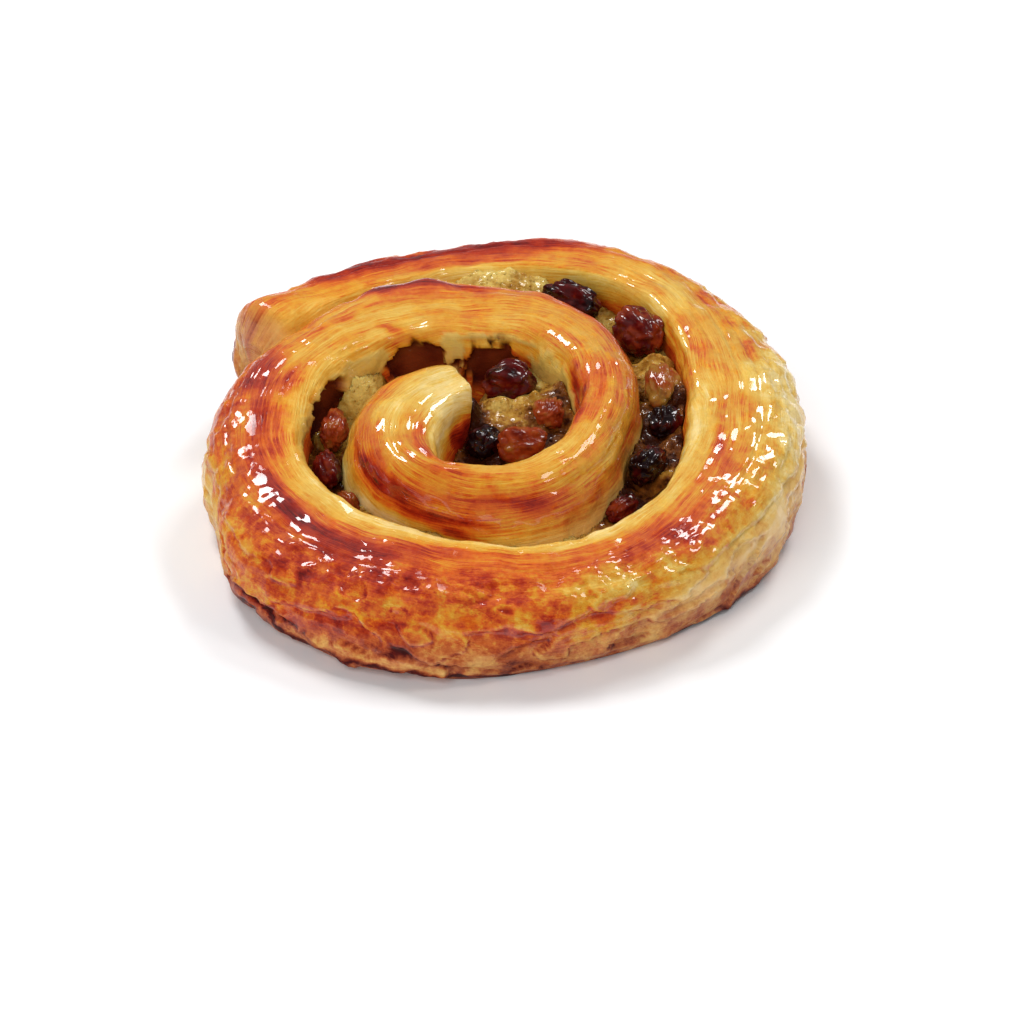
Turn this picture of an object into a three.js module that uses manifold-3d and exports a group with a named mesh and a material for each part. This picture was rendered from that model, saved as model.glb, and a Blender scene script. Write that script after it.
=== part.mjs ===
// Raisin swirl pastry: a strip of laminated dough rolled into a coil of two turns, with baked
// custard filling in the gap between the turns and raisins set in the custard.
// Millimetres, +Z up. The origin is on the table, under the middle of the pastry's box. Places
// are drawn from a point a little off that, and the whole group is moved by COIL.boxMiddle.
//
// A place along the coil is a turn number: 0 points to +X, 0.25 to +Y, and so on anticlockwise.
// The strip is drawn between two edges, each a polar curve about the coil's centre.

import * as THREE from 'three';
import { mergeVertices } from 'three/addons/utils/BufferGeometryUtils.js';
import Module from 'manifold-3d';

const wasm = await Module();
wasm.setup();

// ---------------------------------------------------------------- driving dimensions

const COIL = {
  centre: [-3.25, -5.8],
  boxMiddle: [0.26, -0.68],
  depthStretch: 1.1,
  tipTurn: 0.6,
  tailTurn: 2.404,
  stations: 160,
  cutterStations: 112,
};

const INNER_EDGE = {
  radius: 29.5,
  growthPerTurn: 19.6,
  offset: { size: -5.8, at: 0.16 },
  oval: { size: 1.5, at: 0.153 },
  swells: [
    { size: -4.6, at: 1.285, width: 0.092 },
    { size: -9.6, at: 1.691, width: 0.121 },
    { size: 8.2, at: 2.159, width: 0.087 },
  ],
  hook: { from: 0.6, to: 0.71, radius: 2.2 },
};

const OUTER_RIM = {
  radius: 56.9,
  growthPerTurn: 10.7,
  offset: { size: 3.7, at: 0.081 },
  oval: { size: 4.4, at: 0.073 },
  swells: [
    { size: -5.3, at: 2.029, width: 0.115 },
    { size: -1.3, at: 2.1, width: 0.045 },
  ],
  leavesSeam: { from: 1.4, to: 1.49 },
};

const SEAM = {
  width: 1.8,
  pockets: [
    { size: 5, at: 1.46, width: 0.17 },
    { size: 6.4, at: 1.95, width: 0.11 },
    { size: 8.8, at: 2.145, width: 0.095 },
  ],
};

const CROSSING = { lag: 0.29, fade: 0.066 };

const CREST = {
  innerHeight: 26.2,
  innerTilt: 0.6,
  outerHeight: 20.5,
  outerTilt: 3.2,
  tip: { size: 1.6, at: 0.6, width: 0.08 },
  step: { from: 1.3, to: 1.66 },
};

const SECTION = {
  wideHeight: 9.5,
  crestAcross: { inner: 0.38, outer: 0.18 },
  innerShoulder: 3.6,
  outerShoulder: { front: 2.3, back: 3.6 },
  foot: 2.4,
  footAcross: 0.24,
  outerUndercut: { size: 0.12, at: 1.6, width: 0.1 },
  flattened: 0.5,
  steps: { foot: 3, inner: 5, outer: 10 },
};

const TIP_ROUNDING = 3.5;
const TAIL_ROUNDING = 2;
const END_STEPS = [0, 0.12, 0.4, 0.7];

const LAYERS = { depth: 0.8, width: 0.06, across: [0.42, 0.62, 0.8, 0.93] };
const LUMPS = { depth: 0.5, perTurn: 11 };
const FLAKES = { depth: 0.8, perHeight: 2.3, from: 0.62 };

const CUSTARD = {
  floor: 0.5,
  level: 12.5,
  rings: 10,
  spokes: 64,
  gap: 0.3,
  mounds: [
    { at: [2, -6], rise: 5, spread: 14 },
    { at: [8, 5], rise: 4, spread: 6 },
    { at: [3, 38], rise: 10, spread: 16 },
    { at: [29, 12], rise: 5, spread: 13 },
    { at: [27, -12], rise: 2.5, spread: 9 },
    { at: [-24, 10.5], rise: 7, spread: 5 },
    { at: [-12, 12], rise: -5, spread: 5 },
    { at: [-4, 11], rise: -3, spread: 4 },
  ],
};

const RAISIN = { rings: 6, sides: 10, wrinkle: 0.13 };

// Each raisin: its middle, its length, width and height, its heading in turns and its slope.
const RAISINS = {
  raisin_back: { at: [12.6, 36.6, 19.8], size: [12.5, 7.4, 7], heading: -0.07, slope: 0.1 },
  raisin_back_right: { at: [25, 26.4, 19], size: [11.5, 8.6, 7.8], heading: -0.15, slope: 0.2 },
  raisin_coated: { at: [29.4, 9.6, 17.4], size: [12.5, 6.4, 6.5], heading: -0.24, slope: 0.15 },
  raisin_right: { at: [29.4, -0.6, 15.6], size: [8, 6.4, 6.5], heading: 0.24, slope: -0.1 },
  raisin_front_right: { at: [26, -15, 15.8], size: [11, 6.2, 7], heading: 0.2, slope: 0.15 },
  raisin_low_gap: { at: [21.2, -26.6, 13.6], size: [8.5, 3.8, 5], heading: 0.15, slope: 0.1 },
  raisin_core_back: { at: [1.4, 6.4, 20], size: [10.5, 8.6, 8], heading: -0.04, slope: -0.1 },
  raisin_core_left: { at: [-3.2, -10, 17], size: [8.5, 6, 6.5], heading: 0.18, slope: 0.1 },
  raisin_core_front: { at: [3.4, -13, 18.8], size: [10, 7, 6.5], heading: 0.05, slope: 0.15 },
  raisin_core_right: { at: [8.6, -2.4, 18.8], size: [8, 5.6, 6], heading: 0.25, slope: 0.05 },
  raisin_left: { at: [-30.6, -3.4, 16.2], size: [10.5, 5.2, 6.5], heading: 0.22, slope: 0.2 },
  raisin_left_low: { at: [-31.5, -15.6, 15], size: [9.5, 5, 6.5], heading: 0.28, slope: -0.1 },
  raisin_left_front: { at: [-27.6, -24.4, 13.2], size: [7, 3.2, 5], heading: 0.33, slope: 0.1 },
};

// ---------------------------------------------------------------- small maths

const TURN = 2 * Math.PI;

function smoothStep(from, to, x) {
  const t = Math.min(Math.max((x - from) / (to - from), 0), 1);
  return t * t * (3 - 2 * t);
}

function mix(a, b, share) {
  return a + (b - a) * share;
}

function sumOfSwells(swells, turn) {
  return swells.reduce((sum, s) => sum + s.size * Math.exp(-(((turn - s.at) / s.width) ** 2)), 0);
}

function polarCurve(curve, fromTurn, turn) {
  return curve.radius
    + curve.growthPerTurn * (turn - fromTurn)
    + curve.offset.size * Math.cos(TURN * (turn - curve.offset.at))
    + curve.oval.size * Math.cos(2 * TURN * (turn - curve.oval.at))
    + sumOfSwells(curve.swells, turn);
}

// ---------------------------------------------------------------- the coil's two edges

function innerRadius(turn) {
  const { from, to, radius } = INNER_EDGE.hook;
  return mix(radius, polarCurve(INNER_EDGE, 1.5, turn), smoothStep(from, to, turn));
}

function seamWidth(turn) {
  return SEAM.width + sumOfSwells(SEAM.pockets, turn);
}

function outerRadius(turn) {
  const { from, to } = OUTER_RIM.leavesSeam;
  const besideNextTurn = innerRadius(turn + 1) - seamWidth(turn + 1);
  return mix(besideNextTurn, polarCurve(OUTER_RIM, 2, turn), smoothStep(from, to, turn));
}

function planPoint(turn, radius) {
  const angle = TURN * turn;
  return new THREE.Vector2(
    COIL.centre[0] + radius * Math.cos(angle),
    COIL.centre[1] + COIL.depthStretch * radius * Math.sin(angle),
  );
}

// The strip is crossed square to its length, so near the tip its outer side lags behind.
function crossing(turn) {
  const lag = CROSSING.lag * Math.exp(-(turn - COIL.tipTurn) / CROSSING.fade);
  const outerTurn = turn - lag;
  return {
    inner: planPoint(turn, innerRadius(turn)),
    outer: planPoint(outerTurn, outerRadius(outerTurn)),
    outerTurn,
  };
}

// How far the strip has stepped down from the raised inner turn to the outer one, 0 to 1.
function outerness(turn) {
  return smoothStep(CREST.step.from, CREST.step.to, turn);
}

function crestHeight(turn) {
  const rise = Math.sin(TURN * turn);
  const inner = CREST.innerHeight + CREST.innerTilt * rise;
  const outer = CREST.outerHeight + CREST.outerTilt * rise;
  return mix(inner, outer, outerness(turn)) + sumOfSwells([CREST.tip], turn);
}

// Distances from the tip at which the strip is crossed: close together in its two rounded ends.
function stationDistances(length, count) {
  const tip = END_STEPS.map((share) => share * TIP_ROUNDING);
  const tail = END_STEPS.map((share) => length - share * TAIL_ROUNDING).reverse();
  const body = length - TIP_ROUNDING - TAIL_ROUNDING;
  const between = [];
  for (let k = 0; k <= count; k += 1) between.push(TIP_ROUNDING + (body * k) / count);
  return [...tip, ...between, ...tail];
}

function stations(count) {
  const fine = 2000;
  const middles = [];
  const turns = [];
  for (let i = 0; i <= fine; i += 1) {
    const turn = mix(COIL.tipTurn, COIL.tailTurn, i / fine);
    const { inner, outer } = crossing(turn);
    turns.push(turn);
    middles.push(inner.add(outer).multiplyScalar(0.5));
  }
  const run = [0];
  for (let i = 1; i <= fine; i += 1) {
    run.push(run[i - 1] + middles[i].distanceTo(middles[i - 1]));
  }
  const length = run[fine];
  let i = 0;
  return stationDistances(length, count).map((along) => {
    while (i < fine - 1 && run[i + 1] < along) i += 1;
    const share = (along - run[i]) / (run[i + 1] - run[i]);
    return { turn: mix(turns[i], turns[i + 1], share), along, toTail: length - along };
  });
}

// ---------------------------------------------------------------- the strip's section

function roundShare(angle, power) {
  return [
    Math.max(Math.cos(angle), 0) ** (2 / power),
    Math.max(Math.sin(angle), 0) ** (2 / power),
  ];
}

// The section's outline as [share across the strip, share of the height above or below the
// widest level], from the inner foot up over the crest and down to the outer foot.
function sectionOutline(turn, outerTurn) {
  const { innerShoulder, foot, footAcross, steps } = SECTION;
  const { front, back } = SECTION.outerShoulder;
  const outerShoulder = mix(front, back, 0.5 + 0.5 * Math.sin(TURN * outerTurn));
  const crestAcross = mix(SECTION.crestAcross.inner, SECTION.crestAcross.outer, outerness(turn));
  const outerFoot = footAcross + sumOfSwells([SECTION.outerUndercut], turn);
  const outline = [];
  for (let i = 0; i < steps.foot; i += 1) {
    const [c, s] = roundShare(((1 - i / steps.foot) * Math.PI) / 2, foot);
    outline.push([footAcross * (1 - c), -s]);
  }
  for (let i = 0; i < steps.inner; i += 1) {
    const [c, s] = roundShare(((i / steps.inner) * Math.PI) / 2, innerShoulder);
    outline.push([crestAcross * (1 - c), s]);
  }
  for (let i = 0; i < steps.outer; i += 1) {
    const [c, s] = roundShare(((1 - i / steps.outer) * Math.PI) / 2, outerShoulder);
    outline.push([crestAcross + (1 - crestAcross) * c, s]);
  }
  for (let i = 0; i <= steps.foot; i += 1) {
    const [c, s] = roundShare(((i / steps.foot) * Math.PI) / 2, foot);
    outline.push([1 - outerFoot * (1 - c), -s]);
  }
  return outline;
}

function endTaper(distance, rounding) {
  const reach = 1 - Math.min(distance / rounding, 1);
  return Math.sqrt(Math.max(1 - 0.86 * reach * reach, 0));
}

// Creases between the dough's layers and soft lumps on top, and the broken edges of the layers
// as ledges down the outer side. All of it sinks into the strip.
function reliefDepth(across, share, turn) {
  const wander = 0.05 * Math.sin(TURN * 2.3 * turn) + 0.03 * Math.sin(TURN * 5.1 * turn + 1);
  const creases = LAYERS.across.reduce((sum, at, k) => {
    const strength = 0.5 + 0.5 * Math.sin(TURN * (1.4 + 0.45 * k) * turn + 2 * k);
    return sum + strength * Math.exp(-(((across - at - wander) / LAYERS.width) ** 2));
  }, 0);
  const lumps = 0.5 + 0.5 * Math.sin(TURN * LUMPS.perTurn * turn + 9 * across);
  const slip = 0.35 * Math.sin(TURN * 3.1 * turn) + 0.2 * Math.sin(TURN * 7.3 * turn);
  const ledges = 0.5 + 0.5 * Math.sin(TURN * (FLAKES.perHeight * share + slip));
  const outside = smoothStep(FLAKES.from, 1, across) * smoothStep(1.4, 1.5, turn);
  const top = Math.max(share, 0) * (LAYERS.depth * creases + LUMPS.depth * lumps);
  return mix(top, LUMPS.depth * lumps + FLAKES.depth * ledges, outside);
}

// A closed loop of points round the strip at one station, grown outward by the clearance.
function sectionLoop(station, clearance) {
  const { turn, along, toTail } = station;
  const { inner, outer, outerTurn } = crossing(turn);
  const width = outer.distanceTo(inner);
  const direction = outer.clone().sub(inner).divideScalar(width);
  const taper = Math.min(endTaper(along, TIP_ROUNDING), endTaper(toTail, TAIL_ROUNDING));
  const low = SECTION.wideHeight;
  const crest = crestHeight(turn) * mix(1, taper, 0.35);
  return sectionOutline(turn, outerTurn).map(([across, share]) => {
    const relief = clearance > 0 ? 0 : reliefDepth(across, share, turn);
    const fromMiddle = (across - 0.5) * 2;
    const reach = 0.5 * width * taper * fromMiddle + clearance * fromMiddle - relief * fromMiddle * 0.7;
    const span = share > 0 ? crest - low : low + SECTION.flattened;
    const height = low + share * (span + clearance) - relief * Math.max(share, 0);
    const middle = inner.clone().lerp(outer, 0.5);
    return new THREE.Vector3(
      middle.x + direction.x * reach,
      middle.y + direction.y * reach,
      Math.max(height, -clearance),
    );
  });
}

// ---------------------------------------------------------------- closed meshes

// Skins rings of equal length into one closed body, with a fan at each end.
function skinOfRings(rings, startPole, endPole) {
  const around = rings[0].length;
  const points = rings.flat();
  const triangles = [];
  for (let i = 0; i + 1 < rings.length; i += 1) {
    for (let j = 0; j < around; j += 1) {
      const a = i * around + j;
      const b = i * around + ((j + 1) % around);
      triangles.push(a, b, a + around, b, b + around, a + around);
    }
  }
  const start = points.push(startPole) - 1;
  const end = points.push(endPole) - 1;
  const last = (rings.length - 1) * around;
  for (let j = 0; j < around; j += 1) {
    const next = (j + 1) % around;
    triangles.push(start, next, j);
    triangles.push(end, last + j, last + next);
  }
  const geometry = new THREE.BufferGeometry();
  const numbers = points.flatMap((p) => [p.x, p.y, p.z]);
  geometry.setAttribute('position', new THREE.Float32BufferAttribute(numbers, 3));
  geometry.setIndex(triangles);
  return geometry;
}

function middleOf(points) {
  const sum = points.reduce((total, p) => total.add(p), new THREE.Vector3());
  return sum.divideScalar(points.length);
}

function toManifold(geometry) {
  const bare = geometry.clone();
  bare.deleteAttribute('normal');
  bare.deleteAttribute('uv');
  const merged = mergeVertices(bare, 1e-5);
  return new wasm.Manifold(new wasm.Mesh({
    numProp: 3,
    vertProperties: new Float32Array(merged.getAttribute('position').array),
    triVerts: new Uint32Array(merged.getIndex().array),
  }));
}

function fromManifold(solid) {
  const mesh = solid.getMesh();
  const geometry = new THREE.BufferGeometry();
  geometry.setAttribute('position', new THREE.BufferAttribute(mesh.vertProperties.slice(), 3));
  geometry.setIndex(new THREE.BufferAttribute(mesh.triVerts.slice(), 1));
  return geometry;
}

function largestPiece(solid) {
  return solid.decompose().reduce((best, piece) => (piece.volume() > best.volume() ? piece : best));
}

// ---------------------------------------------------------------- the sub-parts' shapes

// Moves an end ring away from the ring beside it, along the strip.
function lengthen(endRing, besideRing, distance) {
  const step = middleOf(endRing).sub(middleOf(besideRing)).setLength(distance);
  endRing.forEach((point) => point.add(step));
}

function doughStrip(clearance, stationCount) {
  const rings = stations(stationCount).map((station) => sectionLoop(station, clearance));
  lengthen(rings[0], rings[1], 2 * clearance);
  lengthen(rings[rings.length - 1], rings[rings.length - 2], 2 * clearance);
  return skinOfRings(rings, middleOf(rings[0]), middleOf(rings[rings.length - 1]));
}

function custardLevel(point) {
  return CUSTARD.mounds.reduce((level, mound) => {
    const away = Math.hypot(point.x - mound.at[0], point.y - mound.at[1]) / mound.spread;
    return level + mound.rise * Math.exp(-away * away);
  }, CUSTARD.level);
}

// A low drum that reaches the middle of the outermost turn. The dough is cut out of it.
function custardDrum() {
  const { rings, spokes, floor } = CUSTARD;
  const columns = [];
  for (let k = 0; k < spokes; k += 1) {
    const turn = COIL.tailTurn - 1.01 + k / spokes;
    const edge = 0.5 * (innerRadius(turn) + outerRadius(turn));
    columns.push({ turn, edge });
  }
  const loops = [];
  for (let i = 1; i <= rings; i += 1) {
    loops.push(columns.map(({ turn, edge }) => {
      const plan = planPoint(turn, (edge * i) / rings);
      return new THREE.Vector3(plan.x, plan.y, custardLevel(plan));
    }));
  }
  const rim = loops[rings - 1];
  loops.push(rim.map((p) => new THREE.Vector3(p.x, p.y, floor)));
  const centre = planPoint(0, 0);
  const top = new THREE.Vector3(centre.x, centre.y, custardLevel(centre));
  const base = new THREE.Vector3(centre.x, centre.y, floor);
  return skinOfRings(loops.map((loop) => loop.slice().reverse()), top, base);
}

function raisinShape(raisin, order, clearance) {
  const { rings, sides, wrinkle } = RAISIN;
  const half = raisin.size.map((length) => length / 2 + clearance);
  const turned = new THREE.Matrix4().makeRotationZ(TURN * raisin.heading);
  turned.multiply(new THREE.Matrix4().makeRotationY(raisin.slope));
  turned.setPosition(...raisin.at);
  const place = (direction) => {
    const lengthwise = Math.sin(5 * direction.y + 3 * direction.x + order);
    const folds = lengthwise * Math.cos(4 * direction.z + 2 * order);
    const scale = 1 - wrinkle * (0.5 + 0.5 * folds);
    const blunt = 1 - 0.12 * direction.x * direction.x;
    return new THREE.Vector3(
      direction.x * half[0] * scale * blunt,
      direction.y * half[1] * scale,
      direction.z * half[2] * scale,
    ).applyMatrix4(turned);
  };
  const loops = [];
  for (let i = 1; i <= rings; i += 1) {
    const polar = (Math.PI * i) / (rings + 1);
    const loop = [];
    for (let j = 0; j < sides; j += 1) {
      const angle = (TURN * j) / sides;
      loop.push(place(new THREE.Vector3(
        -Math.cos(polar),
        Math.sin(polar) * Math.cos(angle),
        Math.sin(polar) * Math.sin(angle),
      )));
    }
    loops.push(loop);
  }
  return skinOfRings(loops, place(new THREE.Vector3(-1, 0, 0)), place(new THREE.Vector3(1, 0, 0)));
}

function custardShape() {
  const { gap } = CUSTARD;
  let solid = toManifold(custardDrum()).subtract(toManifold(doughStrip(gap, COIL.cutterStations)));
  Object.values(RAISINS).forEach((raisin, order) => {
    solid = solid.subtract(toManifold(raisinShape(raisin, order, gap)));
  });
  return fromManifold(largestPiece(solid));
}

// ---------------------------------------------------------------- finishes

function doughFinish() {
  return new THREE.MeshStandardMaterial({ color: 0xd58a33, roughness: 0.35, metalness: 0 });
}

function custardFinish() {
  return new THREE.MeshStandardMaterial({ color: 0xa98a4a, roughness: 0.4, metalness: 0 });
}

function raisinFinish() {
  return new THREE.MeshStandardMaterial({ color: 0x3b120c, roughness: 0.25, metalness: 0 });
}

// ---------------------------------------------------------------- the pastry

function part(name, geometry, material) {
  const mesh = new THREE.Mesh(geometry, material);
  mesh.name = name;
  return mesh;
}

const pastry = new THREE.Group();
pastry.add(part('dough', doughStrip(0, COIL.stations), doughFinish()));
pastry.add(part('custard', custardShape(), custardFinish()));
Object.entries(RAISINS).forEach(([name, raisin], order) => {
  pastry.add(part(name, raisinShape(raisin, order, 0), raisinFinish()));
});

pastry.position.set(-COIL.boxMiddle[0], -COIL.boxMiddle[1], 0);

export default pastry;
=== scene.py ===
"""A raisin swirl pastry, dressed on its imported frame.

A strip of laminated dough is rolled into a coil of two turns. Baked custard fills the gap
between the turns, and raisins sit in the custard. Lengths are in millimetres, drawn from the
same point as the solids', until a mesh is made: there they are moved to the frame's origin and
turned into metres.

A place along the coil is a turn number: 0 points to +X, 0.25 to +Y, and so on anticlockwise. A
place round the strip's section is a share of the way from its inner foot, up over the crest, to
its outer foot.
"""

from __future__ import annotations

import logging
import math
from dataclasses import dataclass
from enum import Enum, IntEnum

import bmesh
import bpy
import numpy as np
from bpy.types import Material, Node, NodeSocket, NodeTree, Object
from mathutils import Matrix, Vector, noise
from mathutils.bvhtree import BVHTree


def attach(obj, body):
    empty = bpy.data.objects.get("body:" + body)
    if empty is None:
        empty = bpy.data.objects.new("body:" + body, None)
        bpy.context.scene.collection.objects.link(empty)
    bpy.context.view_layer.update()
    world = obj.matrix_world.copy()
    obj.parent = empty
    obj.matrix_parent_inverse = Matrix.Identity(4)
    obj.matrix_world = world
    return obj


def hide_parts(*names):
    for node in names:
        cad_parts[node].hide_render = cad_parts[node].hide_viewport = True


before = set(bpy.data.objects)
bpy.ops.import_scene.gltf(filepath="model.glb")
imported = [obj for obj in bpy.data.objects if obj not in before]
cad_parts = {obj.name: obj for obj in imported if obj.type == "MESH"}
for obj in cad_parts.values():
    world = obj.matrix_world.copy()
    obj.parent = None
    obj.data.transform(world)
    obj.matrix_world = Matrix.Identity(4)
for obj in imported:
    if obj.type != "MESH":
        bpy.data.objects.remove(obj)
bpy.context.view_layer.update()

MM = 0.001
FULL_TURN = 2 * math.pi
BODY = "root"

log = logging.getLogger("pastry")

Rgb = tuple[float, float, float]


class Slot(Enum):
    """The record's material slots."""

    DOUGH = "glazed_crust"
    CUSTARD = "custard"
    RAISIN = "raisin"


class Seed(IntEnum):
    """Which noise shapes each kind of unevenness."""

    LUMPS = 3
    LAYER_WANDER = 5
    LAYERS = 7
    CREASES = 11
    FLAKES = 13
    BLISTERS = 21
    CRINKLES = 23
    STREAKS = 31
    CLOUDS = 33
    BAKING = 37
    GLAZE = 41
    CUSTARD_LUMPS = 51
    CUSTARD_PITS = 52
    CUSTARD_WEBS = 53
    RAISIN_FOLDS = 60
    CAVES = 61
    FILM = 63
    FOOT = 65
    FOOT_RELIEF = 67
    STRANDS = 71
    RAISIN_DENTS = 80
    TORN_EDGES = 91


# ------------------------------------------------------------------ small maths


def smooth_step(low: float, high: float, x: np.ndarray) -> np.ndarray:
    """Rises smoothly from 0 at low to 1 at high.

    Args:
        low: Where the rise starts.
        high: Where the rise ends.
        x: The values.

    Returns:
        The share of the rise at each value.
    """
    share = np.clip((x - low) / (high - low), 0.0, 1.0)
    return share * share * (3 - 2 * share)


def mix(a: np.ndarray, b: np.ndarray, share: np.ndarray) -> np.ndarray:
    """Blends a into b by a share from 0 to 1."""
    return a + (b - a) * share


def hump(x: np.ndarray, middle: float, width: float) -> np.ndarray:
    """A bell curve of height 1."""
    return np.exp(-(((x - middle) / width) ** 2))


def grain(points: np.ndarray, size: float, seed: int, octaves: int = 1) -> np.ndarray:
    """Smooth noise, about -1 to 1, whose lumps are about one size across.

    Args:
        points: Places, one row each, in millimetres.
        size: The width of a lump, in millimetres.
        seed: Which noise it is.
        octaves: How many times finer noise of half the height is added.

    Returns:
        The noise at each place.
    """
    spots = (points / size + 17.31 * seed).tolist()
    if octaves == 1:
        return np.array([noise.noise(spot) for spot in spots])
    return np.array([noise.fractal(spot, 1.0, 2.0, octaves) for spot in spots])


def srgb(red: int, green: int, blue: int) -> Rgb:
    """A screen colour, 0 to 255 each, as the linear values that shaders read.

    Args:
        red: The red, 0 to 255.
        green: The green, 0 to 255.
        blue: The blue, 0 to 255.

    Returns:
        The linear colour.
    """

    def linear(value: int) -> float:
        """One channel."""
        share = value / 255
        return share / 12.92 if share <= 0.04045 else ((share + 0.055) / 1.055) ** 2.4

    return linear(red), linear(green), linear(blue)


# ------------------------------------------------------------------ the coil's plan


@dataclass(frozen=True)
class Swell:
    """A local rise or dip along the coil."""

    size: float
    at: float
    width: float

    def over(self, turn: np.ndarray) -> np.ndarray:
        """Its height at each turn."""
        return self.size * hump(turn, self.at, self.width)


@dataclass(frozen=True)
class Wave:
    """A swing that repeats round the coil."""

    size: float
    at: float

    def over(self, turn: np.ndarray, times: int) -> np.ndarray:
        """Its height at each turn, for a wave that comes so many times a turn."""
        return self.size * np.cos(times * FULL_TURN * (turn - self.at))


@dataclass(frozen=True)
class Edge:
    """One edge of the strip, as a polar curve about the coil's centre."""

    radius: float
    growth: float
    from_turn: float
    offset: Wave
    oval: Wave
    swells: tuple[Swell, ...]

    def at(self, turn: np.ndarray) -> np.ndarray:
        """Its distance from the centre at each turn.

        Args:
            turn: The turn numbers.

        Returns:
            The distances in millimetres.
        """
        radius = self.radius + self.growth * (turn - self.from_turn)
        radius = radius + self.offset.over(turn, 1) + self.oval.over(turn, 2)
        return radius + sum(swell.over(turn) for swell in self.swells)


@dataclass(frozen=True)
class CoilPlan:
    """Where the strip runs on the table, and how high its crest is."""

    centre: tuple[float, float] = (-3.25, -5.8)
    box_middle: tuple[float, float] = (0.26, -0.68)
    depth_stretch: float = 1.1
    tip_turn: float = 0.6
    tail_turn: float = 2.404
    inner: Edge = Edge(
        29.5, 19.6, 1.5, Wave(-5.8, 0.16), Wave(1.5, 0.153),
        (Swell(-4.6, 1.285, 0.092), Swell(-9.6, 1.691, 0.121), Swell(8.2, 2.159, 0.087)),
    )
    rim: Edge = Edge(
        56.9, 10.7, 2.0, Wave(3.7, 0.081), Wave(4.4, 0.073),
        (Swell(-5.3, 2.029, 0.115), Swell(-1.3, 2.1, 0.045)),
    )
    hook: tuple[float, float, float] = (0.6, 0.71, 2.2)
    leaves_seam: tuple[float, float] = (1.4, 1.49)
    seam_width: float = 1.8
    seam_pockets: tuple[Swell, ...] = (
        Swell(5, 1.46, 0.17), Swell(6.4, 1.95, 0.11), Swell(8.8, 2.145, 0.095),
    )
    lag: float = 0.29
    lag_fade: float = 0.066
    inner_crest: tuple[float, float] = (26.2, 0.6)
    outer_crest: tuple[float, float] = (20.5, 3.2)
    tip_crest: Swell = Swell(1.6, 0.6, 0.08)
    steps_down: tuple[float, float] = (1.3, 1.66)

    def inner_radius(self, turn: np.ndarray) -> np.ndarray:
        """The inner edge's distance from the centre: it starts in the tip's tight hook."""
        start, end, radius = self.hook
        return mix(radius, self.inner.at(turn), smooth_step(start, end, turn))

    def outer_radius(self, turn: np.ndarray) -> np.ndarray:
        """The outer edge's distance: beside the next turn first, then the free rim.

        Args:
            turn: The turn numbers.

        Returns:
            The distances in millimetres.
        """
        seam = self.seam_width + sum(pocket.over(turn + 1) for pocket in self.seam_pockets)
        beside = self.inner_radius(turn + 1) - seam
        return mix(beside, self.rim.at(turn), smooth_step(*self.leaves_seam, turn))

    def point(self, turn: np.ndarray, radius: np.ndarray) -> np.ndarray:
        """The place on the table at a turn and a distance.

        Args:
            turn: The turn numbers.
            radius: The distances from the centre.

        Returns:
            The places, one row each.
        """
        angle = FULL_TURN * turn
        across = self.centre[0] + radius * np.cos(angle)
        deep = self.centre[1] + self.depth_stretch * radius * np.sin(angle)
        return np.stack([across, deep], axis=-1)

    def outer_turn(self, turn: np.ndarray) -> np.ndarray:
        """The outer side's turn number, which lags behind the inner side's near the tip."""
        return turn - self.lag * np.exp(-(turn - self.tip_turn) / self.lag_fade)

    def crossing(self, turn: np.ndarray) -> tuple[np.ndarray, np.ndarray]:
        """The strip's inner and outer points where it is crossed square to its length.

        Args:
            turn: The inner side's turn numbers.

        Returns:
            The inner and the outer places.
        """
        outer_turn = self.outer_turn(turn)
        inner = self.point(turn, self.inner_radius(turn))
        return inner, self.point(outer_turn, self.outer_radius(outer_turn))

    def outerness(self, turn: np.ndarray) -> np.ndarray:
        """How far the strip has stepped down from the raised inner turn to the outer one."""
        return smooth_step(*self.steps_down, turn)

    def crest(self, turn: np.ndarray) -> np.ndarray:
        """The crest's height over the table.

        Args:
            turn: The turn numbers.

        Returns:
            The heights in millimetres.
        """
        rise = np.sin(FULL_TURN * turn)
        inner = self.inner_crest[0] + self.inner_crest[1] * rise
        outer = self.outer_crest[0] + self.outer_crest[1] * rise
        return mix(inner, outer, self.outerness(turn)) + self.tip_crest.over(turn)

    def to_frame(self, points: np.ndarray) -> np.ndarray:
        """Drawn millimetres as metres in the frame."""
        moved = points - np.array([self.box_middle[0], self.box_middle[1], 0.0])
        return moved * MM


COIL = CoilPlan()


# ------------------------------------------------------------------ meshes


def mesh_piece(name: str, points: np.ndarray, faces: list[tuple[int, ...]], finish: Material) -> Object:
    """Makes a smooth mesh object that rides on the body.

    Args:
        name: The object's name.
        points: Drawn places in millimetres, one row each.
        faces: Each face's corner numbers.
        finish: The material.

    Returns:
        The new object.
    """
    mesh = bpy.data.meshes.new(name)
    mesh.from_pydata(COIL.to_frame(points).tolist(), [], faces)
    mesh.polygons.foreach_set("use_smooth", np.ones(len(mesh.polygons), dtype=bool))
    mesh.materials.append(finish)
    mesh.update()
    piece = bpy.data.objects.new(name, mesh)
    bpy.context.scene.collection.objects.link(piece)
    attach(piece, BODY)
    return piece


def add_mask(piece: Object, name: str, values: np.ndarray) -> None:
    """Stores a value for each vertex.

    Args:
        piece: The object.
        name: The attribute's name, which the material reads.
        values: One number, or three, for each vertex.
    """
    kind = "FLOAT" if values.ndim == 1 else "FLOAT_VECTOR"
    key = "value" if kind == "FLOAT" else "vector"
    made = piece.data.attributes.new(name, kind, "POINT")
    made.data.foreach_set(key, values.astype(np.float32).ravel())


# ------------------------------------------------------------------ the dough


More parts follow.
